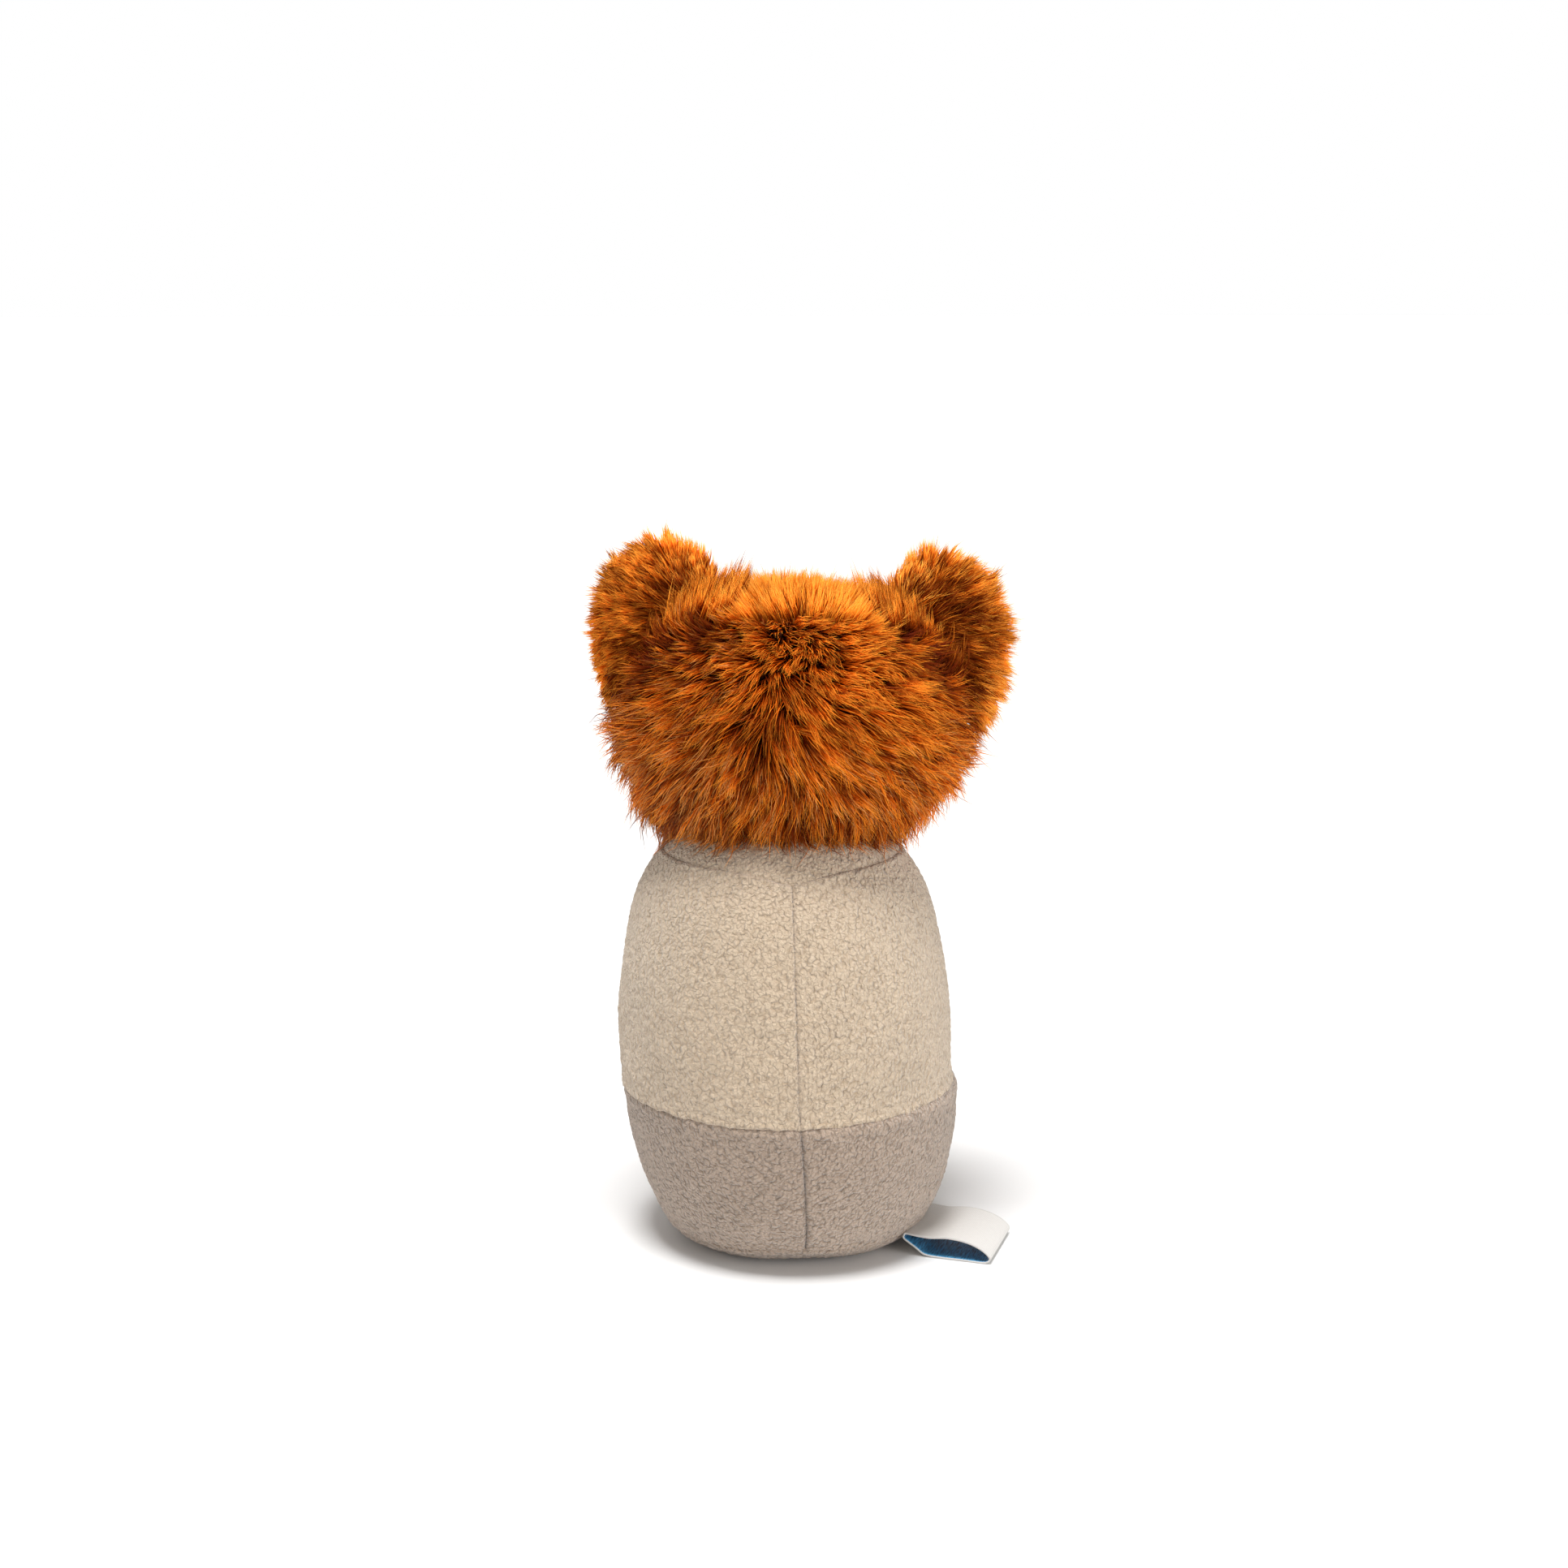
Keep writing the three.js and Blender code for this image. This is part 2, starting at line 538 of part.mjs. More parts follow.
// One fabric layer of an ear: a half ellipse whose rims curl forward and whose tip leans to the crown.
function earLayer(lean, foot, near, far) {
  const [across, rise] = [EAR_COLUMNS, EAR_ROWS];
  const points = [];
  for (const face of [near, far]) {
    for (let j = 0; j <= rise; j++) {
      for (let i = 0; i <= across; i++) {
        const u = (2 * i) / across - 1;
        const v = j / rise;
        const x = EAR_HALF_WIDTH * u * Math.sqrt(1 - v ** 2 / 2);
        const y = foot + (EAR_HEIGHT - foot) * v * Math.sqrt(1 - u ** 2 / 2);
        const cup = EAR_CUP * (x / EAR_HALF_WIDTH) ** 2 * Math.min(y / (EAR_HEIGHT / 2), 1);
        points.push(x + lean * EAR_SKEW * y, y, face(Math.max(u ** 2, v ** 2)) - cup);
      }
    }
  }
  const row = across + 1;
  const layer = row * (rise + 1);
  const faces = [];
  const quad = (a, b, c, d) => faces.push(a, b, c, a, c, d);
  for (let j = 0; j < rise; j++) {
    for (let i = 0; i < across; i++) {
      const a = j * row + i;
      quad(a + row, a + row + 1, a + 1, a);
      quad(layer + a, layer + a + 1, layer + a + row + 1, layer + a + row);
    }
  }
  for (let i = 0; i < across; i++) {
    quad(i, i + 1, layer + i + 1, layer + i);
    const top = rise * row + i;
    quad(top + 1, top, layer + top, layer + top + 1);
  }
  for (let j = 0; j < rise; j++) {
    const a = j * row;
    quad(a + row, a, layer + a, layer + a + row);
    const b = a + across;
    quad(b, b + row, layer + b + row, layer + b);
  }
  const geometry = new THREE.BufferGeometry();
  geometry.setAttribute("position", new THREE.BufferAttribute(new Float32Array(points), 3));
  geometry.setIndex(faces);
  return solid(geometry);
}

// The room that a root and the foot of its ear sweep as the ear folds.
function earRoom() {
  const radius = EAR_HALF_THICKNESS + GAP;
  const fold = rad(EAR_FOLD + EAR_FOLD_SPARE);
  const shape = new THREE.Shape();
  const far = EAR_HEIGHT - EAR_DEPTH;
  shape.absarc(0, 0, radius, Math.PI + fold, 2 * Math.PI - fold);
  const wide = radius * Math.cos(fold) + far * Math.sin(fold);
  const high = far * Math.cos(fold) - radius * Math.sin(fold);
  shape.lineTo(wide, high);
  shape.lineTo(-wide, high);
  const length = 2 * (EAR_HALF_WIDTH + (EAR_SKEW * EAR_HEIGHT) / 2 + GAP);
  const options = { depth: length, curveSegments: SMALL_RING / 2, bevelEnabled: false };
  const room = new THREE.ExtrudeGeometry(shape, options);
  const basis = new THREE.Matrix4().makeBasis(
    new THREE.Vector3(0, 0, 1), new THREE.Vector3(0, 1, 0), new THREE.Vector3(-1, 0, 0));
  return solid(room.translate(0, 0, -length / 2).applyMatrix4(basis));
}

function earPieces(ear) {
  const taper = (share) =>
    EAR_HALF_THICKNESS + (EAR_RIM_HALF_THICKNESS - EAR_HALF_THICKNESS) * share;
  const half = GAP / 2;
  const lean = ear.side;
  const [radius, length] = [EAR_HALF_THICKNESS, 2 * EAR_ROOT_HALF_LENGTH];
  const bead = new THREE.CylinderGeometry(radius, radius, length, SMALL_RING);
  const back = earLayer(lean, 0, () => half, taper).add(solid(bead.rotateZ(Math.PI / 2)));
  const lining = earLayer(lean, EAR_HALF_THICKNESS + GAP, (share) => -taper(share), () => -half);
  return { back, lining };
}

// Label

function labelForm() {
  const drop = BASE_SEAM_Z - LABEL_T / 2 - 2 * GAP;
  const root = LABEL_ROOT_HALF;
  const line = [];
  for (let turn = 225; turn >= 90; turn -= 45) {
    line.push([root * Math.cos(rad(turn)), root * Math.sin(rad(turn))]);
  }
  line.push([LABEL_REACH / 4, root / 2]);
  for (const [out, down] of LABEL_LOOP) line.push([LABEL_REACH * out, -drop * down]);
  const points = line.map(([x, z]) => new THREE.Vector3(x, z, 0));
  const curve = new THREE.CatmullRomCurve3(points, true, "centripetal");
  const side = (distance) => {
    const points = [];
    for (let i = 0; i < LABEL_STEPS; i++) {
      const point = curve.getPoint(i / LABEL_STEPS);
      const way = curve.getTangent(i / LABEL_STEPS);
      points.push(new THREE.Vector2(point.x - way.y * distance, point.y + way.x * distance));
    }
    return points;
  };
  const shape = new THREE.Shape(side(LABEL_T / 2));
  shape.holes.push(new THREE.Path(side(-LABEL_T / 2).reverse()));
  const band = new THREE.ExtrudeGeometry(shape, { depth: LABEL_WIDTH, bevelEnabled: false });
  band.translate(0, 0, -LABEL_WIDTH / 2).rotateX(Math.PI / 2);
  return solid(band.translate(labelRootRadius(), 0, BASE_SEAM_Z));
}

// Assembly

function mesh(name, body, finish) {
  const part = new THREE.Mesh(geometryOf(body), new THREE.MeshStandardMaterial(finish));
  part.name = name;
  return part;
}

function addAll(group, pieces) {
  for (const [name, [body, finish]] of Object.entries(pieces)) group.add(mesh(name, body, finish));
}

// A group turned about an axis through a point.
function turnedGroup(axis, degrees, point) {
  const group = new THREE.Group();
  group.setRotationFromAxisAngle(axis, rad(degrees));
  group.position.copy(point).sub(point.clone().applyQuaternion(group.quaternion));
  group.updateMatrix();
  return group;
}

function headGroup() {
  const tilted = turnedGroup(new THREE.Vector3(1, 0, 0), HEAD_TILT, new THREE.Vector3(0, 0, NECK_Z));
  const group = turnedGroup(new THREE.Vector3(0, 1, 0), -HEAD_LEAN, new THREE.Vector3(0, 0, HEAD_LEAN_Z));
  const pieces = {};
  const hollows = [];
  facePieces(pieces, hollows);

  const socket = placed(ball(NECK_R + SLIDE, NECK_Z), group.matrix.clone().invert());
  for (const ear of EARS) {
    const frame = earFrame(ear);
    const { back, lining } = earPieces(ear);
    pieces[ear.name + "_ear_back"] = [placed(back, frame), FINISH.fur];
    pieces[ear.name + "_ear_lining"] = [placed(lining, frame), FINISH.lining];
    hollows.push(placed(earRoom(), frame));
  }

  const outer = solid(headForm(0));
  let skin = outer.subtract(solid(headForm(PLUSH))).subtract(socket);
  let filling = solid(headForm(PLUSH + GAP)).subtract(socket);
  for (const hollow of hollows) {
    skin = skin.subtract(hollow);
    filling = filling.subtract(hollow);
  }
  pieces.head_stuffing = [filling, FINISH.filling];

  const crownZ = HEAD_Z + HEAD_RISE;
  const seam = [
    [FAR / 2, crownZ + CROWN_SEAM_DROP], [CROWN_SEAM_Y, crownZ - CROWN_SEAM_DROP],
    [TEMPLE_SEAM_Y, crownZ - TEMPLE_SEAM_DROP], [EAR_SEAM_Y, HEAD_Z + EAR_SEAM_RISE],
    [CHEEK_SEAM_Y, HEAD_Z - CHEEK_SEAM_DROP], [JAW_SEAM_Y, 0],
  ];
  const front = prism([...seam, [-FAR, 0], [-FAR, 2 * FAR], [FAR, 2 * FAR]].reverse(), "x", -FAR, FAR);
  const behindSeam = seam.map(([y, z]) => [y + GAP, z - GAP]);
  const rear = prism([...behindSeam, [FAR, -GAP]], "x", -FAR, FAR);
  const half = GAP / 2;
  const sides = {
    left: block(half, FAR, -FAR, FAR, 0, 2 * FAR),
    right: block(-FAR, -half, -FAR, FAR, 0, 2 * FAR),
  };
  for (const [side, room] of Object.entries(sides)) {
    pieces["head_back_" + side] = [skin.intersect(rear).intersect(room), FINISH.fur];
    pieces["face_" + side] = [skin.intersect(front).intersect(room), FINISH.crown];
  }
  addAll(group, pieces);
  return tilted.add(group);
}

function labelGroup() {
  const group = new THREE.Group();
  group.add(mesh("label_loop", labelForm(), FINISH.label));
  group.rotation.z = rad(LABEL_AZIMUTH);
  return group;
}

const sockCat = new THREE.Group();
addAll(sockCat, torsoPieces());
sockCat.add(headGroup());
sockCat.add(labelGroup());

export default sockCat;
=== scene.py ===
"""A small standing plush cat: fleece body, grey toe, furry head that turns, folding ears and a loop label."""

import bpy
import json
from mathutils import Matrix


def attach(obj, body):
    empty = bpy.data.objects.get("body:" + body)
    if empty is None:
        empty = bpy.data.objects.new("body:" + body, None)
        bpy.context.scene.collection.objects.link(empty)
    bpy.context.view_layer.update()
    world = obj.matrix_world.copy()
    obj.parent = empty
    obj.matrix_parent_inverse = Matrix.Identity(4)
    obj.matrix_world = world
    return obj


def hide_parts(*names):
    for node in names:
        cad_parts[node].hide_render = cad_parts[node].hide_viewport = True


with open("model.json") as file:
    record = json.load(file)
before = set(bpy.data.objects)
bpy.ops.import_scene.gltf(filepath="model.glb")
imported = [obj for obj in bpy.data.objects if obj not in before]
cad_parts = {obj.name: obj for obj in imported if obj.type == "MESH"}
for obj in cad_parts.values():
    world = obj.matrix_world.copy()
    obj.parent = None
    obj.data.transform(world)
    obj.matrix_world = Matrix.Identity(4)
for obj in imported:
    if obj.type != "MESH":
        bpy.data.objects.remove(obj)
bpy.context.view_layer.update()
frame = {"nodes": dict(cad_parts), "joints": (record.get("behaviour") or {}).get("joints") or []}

import json
import logging
import math
from dataclasses import dataclass
from enum import IntEnum
from typing import Callable, Sequence

import bpy
import numpy as np
from mathutils import Matrix, Vector
from mathutils.kdtree import KDTree

log = logging.getLogger("plush_cat")
MM = 0.001
Points = np.ndarray
Colour = tuple[float, float, float]
Piece = bpy.types.Object
Material = bpy.types.Material
SIDES = (("left", 1), ("right", -1))


def linear(code: str) -> Colour:
    """Turns a written colour into the linear values that shaders use.

    Args:
        code: six hexadecimal digits, red first.

    Returns:
        Red, green and blue from 0 to 1.
    """
    parts = [int(code[i : i + 2], 16) / 255 for i in (0, 2, 4)]
    return tuple(c / 12.92 if c <= 0.04045 else ((c + 0.055) / 1.055) ** 2.4 for c in parts)


def unit(vectors: Points) -> Points:
    """Scales each row to length 1."""
    return vectors / np.maximum(np.linalg.norm(vectors, axis=-1, keepdims=True), 1e-12)


def laid(flow: Points, out: Points) -> Points:
    """Lays directions flat on a skin that faces out."""
    return unit(flow - np.sum(flow * out, axis=1, keepdims=True) * out)


def smooth(low: float, high: float, values: Points) -> Points:
    """Rises gently from 0 at low to 1 at high."""
    share = np.clip((values - low) / (high - low), 0, 1)
    return share * share * (3 - 2 * share)


# Noise


HASH_AXES = (374761393, 668265263, 2147483647)
HASH_SEED = 1274126177
HASH_MASK, HASH_FINE = 0xFFFFFFFF, 0xFFFFFF


@dataclass(frozen=True)
class Noise:
    """Repeatable noise over points in space.

    Attributes:
        scale: size of one cell, in metres.
        seed: which pattern of the kind.
    """

    scale: float
    seed: int = 0

    def _hash(self, cells: np.ndarray, salt: int) -> Points:
        """Gives each whole-number cell its own number from 0 to 1."""
        mixed = (cells @ np.array(HASH_AXES) + (self.seed * 13 + salt) * HASH_SEED) & HASH_MASK
        mixed = ((mixed ^ (mixed >> 13)) * HASH_SEED) & HASH_MASK
        return ((mixed ^ (mixed >> 16)) & HASH_FINE) / HASH_FINE

    def waves(self, points: Points) -> Points:
        """Smooth noise from -1 to 1.

        Args:
            points: rows of x, y, z in metres.

        Returns:
            One value for each row.
        """
        place = points / self.scale
        cell = np.floor(place).astype(np.int64)
        share = place - cell
        share = share * share * (3 - 2 * share)
        total = np.zeros(len(points))
        for corner in np.ndindex(2, 2, 2):
            step = np.array(corner)
            weight = np.prod(np.where(step == 1, share, 1 - share), axis=1)
            total += weight * self._hash(cell + step, 0)
        return 2 * total - 1

    def vectors(self, points: Points) -> Points:
        """Three waves for each row, which differ from each other."""
        return np.stack([Noise(self.scale, self.seed + k * 101).waves(points) for k in (1, 2, 3)], axis=1)

    def lumps(self, points: Points) -> Points:
        """Round lumps, one to a cell, from about 1 at a lump's middle down to 0 between lumps."""
        place = points / self.scale
        cell = np.floor(place).astype(np.int64)
        near = np.full(len(points), math.inf)
        for offset in np.ndindex(3, 3, 3):
            other = cell + np.array(offset) - 1
            middle = other + np.stack([self._hash(other, k) for k in (1, 2, 3)], axis=1)
            near = np.minimum(near, np.sum((place - middle) ** 2, axis=1))
        return 1 - np.minimum(np.sqrt(near), 1)


# Shader maths


class Value:
    """A socket in shader maths: an expression on values adds the Math nodes that work it out."""

    def __init__(self, graph: "Graph", socket: bpy.types.NodeSocket) -> None:
        """Wraps a socket of a graph."""
        self.graph, self.socket = graph, socket

    def _math(self, operation: str, a: object, b: object = 0.0) -> "Value":
        """Adds one Math node and returns what it gives."""
        return self.graph.node("Math", {0: a, 1: b}, operation=operation)

    def __add__(self, other: object) -> "Value":
        """self + other."""
        return self._math("ADD", self, other)

    def __sub__(self, other: object) -> "Value":
        """self - other."""
        return self._math("SUBTRACT", self, other)

    def __rsub__(self, other: object) -> "Value":
        """other - self."""
        return self._math("SUBTRACT", other, self)

    def __mul__(self, other: object) -> "Value":
        """self * other."""
        return self._math("MULTIPLY", self, other)

    def __gt__(self, other: object) -> "Value":
        """1 where self is more than other, and 0 elsewhere."""
        return self._math("GREATER_THAN", self, other)

    def __abs__(self) -> "Value":
        """self without its sign."""
        return self._math("ABSOLUTE", self)

    def fraction(self) -> "Value":
        """What is left above the whole number."""
        return self._math("FRACT", self)

    def or_more(self, other: "Value") -> "Value":
        """The higher of self and other."""
        return self._math("MAXIMUM", self, other)


class Graph:
    """The node tree of a material or of the world, with one method that adds any node."""

    def __init__(self, name: str, owner: bpy.types.World | None = None) -> None:
        """Starts an empty tree, in a new material if no owner is given."""
        self.owner = owner or bpy.data.materials.new(name)
        self.owner.use_nodes = True
        self.tree = self.owner.node_tree
        self.tree.nodes.clear()

    def node(self, kind: str, sockets: dict | None = None, out: object = 0, **settings: object) -> Value:
        """Adds a node, sets it and links it.

        Args:
            kind: the node's type, without the "ShaderNode" that all of them start with.
            sockets: values or links, by the input's name or number.
            out: the output that is wanted, by name or number.
            settings: its own settings, set first; "stops" are a ramp's places and colours.

        Returns:
            That output.
        """
        made = self.tree.nodes.new("ShaderNode" + kind)
        for key, value in settings.items():
            if key == "stops":
                self._stops(made.color_ramp, value)
            else:
                setattr(made, key, value)
        for key, value in (sockets or {}).items():
            if isinstance(value, Value):
                self.tree.links.new(value.socket, made.inputs[key])
            else:
                made.inputs[key].default_value = value
        return Value(self, made.outputs[out])

    @staticmethod
    def _stops(ramp: bpy.types.ColorRamp, stops: Sequence[tuple[float, Colour]]) -> None:
        """Writes a ramp's stops."""
        while len(ramp.elements) < len(stops):
            ramp.elements.new(1.0)
        for element, (place, colour) in zip(ramp.elements, stops):
            element.position = place
            element.color = (*colour, 1)

    def mix(self, share: object, a: object, b: object, blend: str = "MIX") -> Value:
        """Mixes two colours by a share."""
        sides = [(*c, 1) if isinstance(c, tuple) and len(c) == 3 else c for c in (a, b)]
        sockets = {"Factor": share, 6: sides[0], 7: sides[1]}
        return self.node("Mix", sockets, 2, data_type="RGBA", blend_type=blend)

    def brightened(self, colour: object, by: object) -> Value:
        """Scales a colour by a number."""
        return self.node("VectorMath", {0: colour, "Scale": by}, operation="SCALE")

    def noise(self, scale: float, detail: float = 2.0, where: Value | None = None, out: object = 0) -> Value:
        """Noise on the piece's own place; scale is one over the size of a patch in metres."""
        place = where or self.node("TexCoord", out="Object")
        return self.node("TexNoise", {"Vector": place, "Scale": scale, "Detail": detail}, out)

    def attribute(self, name: str) -> Value:
        """A number kept on the piece's points."""
        return self.node("Attribute", out="Fac", attribute_name=name)

    def bump(self, height: Value, strength: float, distance: float) -> Value:
        """Turns a height into a bumped normal; distance is in metres."""
        sockets = {"Height": height, "Strength": strength, "Distance": distance}
        return self.node("Bump", sockets)

    def finish(self, colour: object, roughness: object, normal: Value | None = None,
               **fixed: float) -> Material:
        """Ends the tree in a shader.

        Args:
            colour: the base colour.
            roughness: from 0, mirror, to 1, matt.
            normal: the bumped normal.
            fixed: values of other sockets, with _ for each space.

        Returns:
            The material.
        """
        sockets = {"Base Color": colour, "Roughness": roughness}
        sockets |= {key.replace("_", " "): value for key, value in fixed.items()}
        if normal:
            sockets["Normal"] = normal
        return self.end(self.node("BsdfPrincipled", sockets))

    def end(self, shader: Value, kind: str = "Material") -> Material | bpy.types.World:
        """Links a shader to the tree's output and returns the tree's owner."""
        output = self.tree.nodes.new("ShaderNodeOutput" + kind)
        self.tree.links.new(shader.socket, output.inputs["Surface"])
        return self.owner


# Finishes


@dataclass(frozen=True)
class Fleece:
    """Short pebbled fleece.

    Attributes:
        name: the record's slot.
        tip: colour of the curls' tops, which carries painted light.
        pit: colour between the curls, which carries painted shade.
        seam: painted shade down in the seams.
        curl: size of a curl in metres.
        seam_shade_share: how much of that painted shade the seams take.
        relief: depth of the curls in metres.
    """

    name: str
    tip: Colour
    pit: Colour
    seam: Colour
    curl: float = 1.0 * MM
    seam_shade_share: float = 0.55
    relief: float = 0.6 * MM

    def material(self) -> Material:
        """Fleece whose small curls are painted lighter than the pits between them, as painted light and shade
        of their relief, with fine fibres over all.
        """
        g = Graph(self.name)
        place = g.node("TexCoord", out="Object")
        bend = g.noise(0.7 / self.curl, 1.0, place, "Color")
        bent = g.node("VectorMath", {0: bend, 1: (1.6 * self.curl,) * 3, 2: place}, operation="MULTIPLY_ADD")
        away = g.node("TexVoronoi", {"Vector": bent, "Scale": 1 / self.curl}, "Distance")
        curls = 1.0 - away * away * 1.5
        fibres = g.noise(4200, 3)
        patches = g.noise(60, 1)
        # Painted light on the curls' tops and painted shade in the pits, taken from their height, with the
        # fine fibres.
        grain = curls * 0.75 + g.attribute("grain") * 0.3 + fibres * 0.5 - 0.5
        colour = g.mix(grain, self.pit, self.tip)
        # Painted shade down in the seams.
        colour = g.mix(g.attribute("seam") * self.seam_shade_share, colour, self.seam)
        colour = g.brightened(colour, patches * 0.1 + 0.95)
        height = curls + fibres * 0.5
        bumped = g.bump(height, 1.0, self.relief)
        return g.finish(colour, 0.95, bumped, Sheen_Weight=0.45, Sheen_Roughness=0.6)


class Shade(IntEnum):
    """Bands of colour that a fibre can take: three dyed colours, and a last band of painted shade for fibres
    down in a hollow.
    """

    RUSSET = 0
    TAN = 1
    AMBER = 2
    # Painted shade for fibres down in a hollow.
    DARK = 3


@dataclass(frozen=True)
class PileFinish:
    """Plush pile, whose fibres carry their shade and their own length in the piece's UV map.

    Attributes:
        name: the record's slot.
        shades: colours at the root, the middle and the tip, for each Shade; the darker roots and lighter tips
            are partly the fibres' own colour, partly painted shade among the roots and painted light on the
            tips.
        places: where along a fibre those three colours stand.
        roughness: of the fibres.
        darkest: what the shades are multiplied by at tone 0.
        lightest: what they are multiplied by at tone 1.
    """

    name: str
    shades: tuple[tuple[Colour, Colour, Colour], ...]
    roughness: float = 0.5
    places: tuple[float, float, float] = (0.1, 0.58, 0.97)
    darkest: Colour = (0.32, 0.18, 0.10)
    lightest: Colour = (1.70, 1.80, 1.80)

    def material(self) -> Material:
        """Across the UV map fibres go from dark and red to light, and up each band from root to tip, darker
        at the root and lighter at the tip partly as painted shade and painted light.
        """
        g = Graph(self.name)
        uv = g.node("UVMap", uv_map=BAKE_MAP)
        tone, height = (g.node("SeparateXYZ", {0: uv}, k) for k in (0, 1))
        height = height * len(self.shades)
        along = height.fraction()
        colour = None
        for band, colours in enumerate(self.shades):
            ramp = g.node("ValToRGB", {0: along}, stops=list(zip(self.places, colours)))
            colour = ramp if colour is None else g.mix(height > float(band), colour, ramp)
        colour = g.mix(1.0, colour, g.mix(tone, self.darkest, self.lightest), "MULTIPLY")
        return g.finish(colour, self.roughness, Specular_IOR_Level=0.05)


BAKE_MAP = "OFBake"
LIGHTEST = 0.999
# Each fleece: curls' tops with painted light, pits with painted shade, and painted shade for its seams.
BEIGE = Fleece("beige_fleece", linear("E5D0B5"), linear("C8AE90"), linear("CDB69C"))
GREY = Fleece("grey_fleece", linear("CCB4A0"), linear("9A836E"), linear("8E7866"))
# Root, middle and tip of each band: the dark roots and light tips are partly the fibres' own colour and
# partly painted shade among the roots and painted light on the tips.
RUSSET_SHADES = (
    (linear("380E00"), linear("B84E04"), linear("FFA034")),
    (linear("4A1A04"), linear("B05A1C"), linear("F0AA62")),
    (linear("C86A10"), linear("EE9028"), linear("FFB24C")),
    # The last band: painted shade for fibres down in a hollow.
    (linear("2A0A00"), linear("6C2602"), linear("B4520C")),
)
LONG_FUR = PileFinish("long_fur", RUSSET_SHADES)
SHORT_FUR = PileFinish("short_fur", RUSSET_SHADES, 0.7)
LINING_FUR = PileFinish("lining_fur", RUSSET_SHADES, 0.7)
RUSSET_BACKING, AMBER_BACKING = linear("5A2400"), linear("B5651C")


@dataclass(frozen=True)
class Backing:
    """Knitted backing of a plush, seen only where the pile parts."""

    name: str
    colour: Colour

    def material(self) -> Material:
        """A dull knit with fine loops."""
        g = Graph(self.name + "_backing")
        knit = g.noise(1800, 2)
        colour = g.brightened(self.colour, knit * 0.6 + 0.7)
        return g.finish(colour, 0.95, g.bump(knit, 0.6, 0.3 * MM))


@dataclass(frozen=True)
class Gloss:
    """Moulded glossy plastic."""

    name: str
    colour: Colour

    def material(self) -> Material:
        """A smooth moulding with faint flow marks."""
        g = Graph(self.name)
        flow = g.noise(300, 2)
        colour = g.brightened(self.colour, flow * 0.3 + 0.85)
        return g.finish(colour, flow * 0.08 + 0.08, g.bump(flow, 0.15, 0.05 * MM), Specular_IOR_Level=0.3)


@dataclass(frozen=True)
class Matt:
    """A dull plain surface, such as a moulding, a wad of fibre or a bag's cloth.

    Attributes:
        name: the record's slot.
        colour: base colour.
        grain: size of its texture in metres.
        relief: depth of its texture in metres.
        roughness: from 0 to 1.
    """

    name: str
    colour: Colour
    grain: float
    relief: float
    roughness: float = 0.9

    def material(self) -> Material:
        """Noise of two sizes lights and lifts the surface."""
        g = Graph(self.name)
        coarse, fine = g.noise(1 / self.grain, 2), g.noise(4 / self.grain, 3)
        colour = g.brightened(self.colour, coarse * 0.25 + fine * 0.2 + 0.78)
        return g.finish(colour, self.roughness, g.bump(coarse + fine * 0.5, 0.6, self.relief))


BLACK = Gloss("gloss_black", linear("0E0A08"))
THREAD = Matt("stitch_thread", linear("3B2416"), 0.5 * MM, 0.2 * MM)
WASHER = Matt("washer_plastic", linear("E6E4DE"), 2 * MM, 0.05 * MM, 0.45)
FIBRE = Matt("fibre_filling", linear("F4F2EE"), 3 * MM, 1.0 * MM)
POUCH = Matt("pouch_cloth", linear("EDEBE5"), 1 * MM, 0.3 * MM)
MUZZLE = Matt("muzzle_plush", linear("EFE2CE"), 1.2 * MM, 0.5 * MM)


# Making pieces


def deselect() -> None:
    """Leaves nothing selected and object mode on."""
    if bpy.context.object and bpy.context.object.mode != "OBJECT":
        bpy.ops.object.mode_set(mode="OBJECT")
    bpy.ops.object.select_all(action="DESELECT")


def activate(piece: Piece) -> Piece:
    """Selects one piece alone and makes it active."""
    deselect()
    piece.select_set(True)
    bpy.context.view_layer.objects.active = piece
    return piece


def apply_modifier(piece: Piece, kind: str, **settings: object) -> None:
    """Adds a modifier, sets it and applies it.

    Args:
        piece: the mesh to change.
        kind: the modifier's type.
        settings: its settings.
    """
    activate(piece)
    modifier = piece.modifiers.new(kind.lower(), kind)
    for key, value in settings.items():
        setattr(modifier, key, value)
    bpy.ops.object.modifier_apply(modifier=modifier.name)


def points_of(piece: Piece) -> Points:
    """The places of a mesh's points, one row each."""
    flat = np.empty(len(piece.data.vertices) * 3, np.float32)
    piece.data.vertices.foreach_get("co", flat)
    return flat.reshape(-1, 3).astype(float)


def move_points(piece: Piece, points: Points) -> None:
    """Writes the places of a mesh's points."""
    piece.data.vertices.foreach_set("co", points.astype(np.float32).ravel())
    piece.data.update()


def keep_number(piece: Piece, name: str, values: Points) -> None:
    """Keeps one number for each point, for the material to read."""
    kept = piece.data.attributes.new(name, "FLOAT", "POINT")
    kept.data.foreach_set("value", values.astype(np.float32))


def merge_doubles(piece: Piece, near: float) -> None:
    """Joins the points of a mesh that lie nearer to each other than a length."""
    activate(piece)
    bpy.ops.object.mode_set(mode="EDIT")
    bpy.ops.mesh.select_all(action="SELECT")
    bpy.ops.mesh.remove_doubles(threshold=near)
    bpy.ops.object.mode_set(mode="OBJECT")


def add(name: str, data: bpy.types.ID) -> Piece:
    """Puts a new object with its data into the scene."""
    made = bpy.data.objects.new(name, data)
    bpy.context.scene.collection.objects.link(made)
    return made


def aim(thing: Piece, direction: Vector) -> None:
    """Turns a camera or a lamp to look along a direction."""
    thing.rotation_mode = "QUATERNION"
    thing.rotation_quaternion = direction.to_track_quat("-Z", "Y")


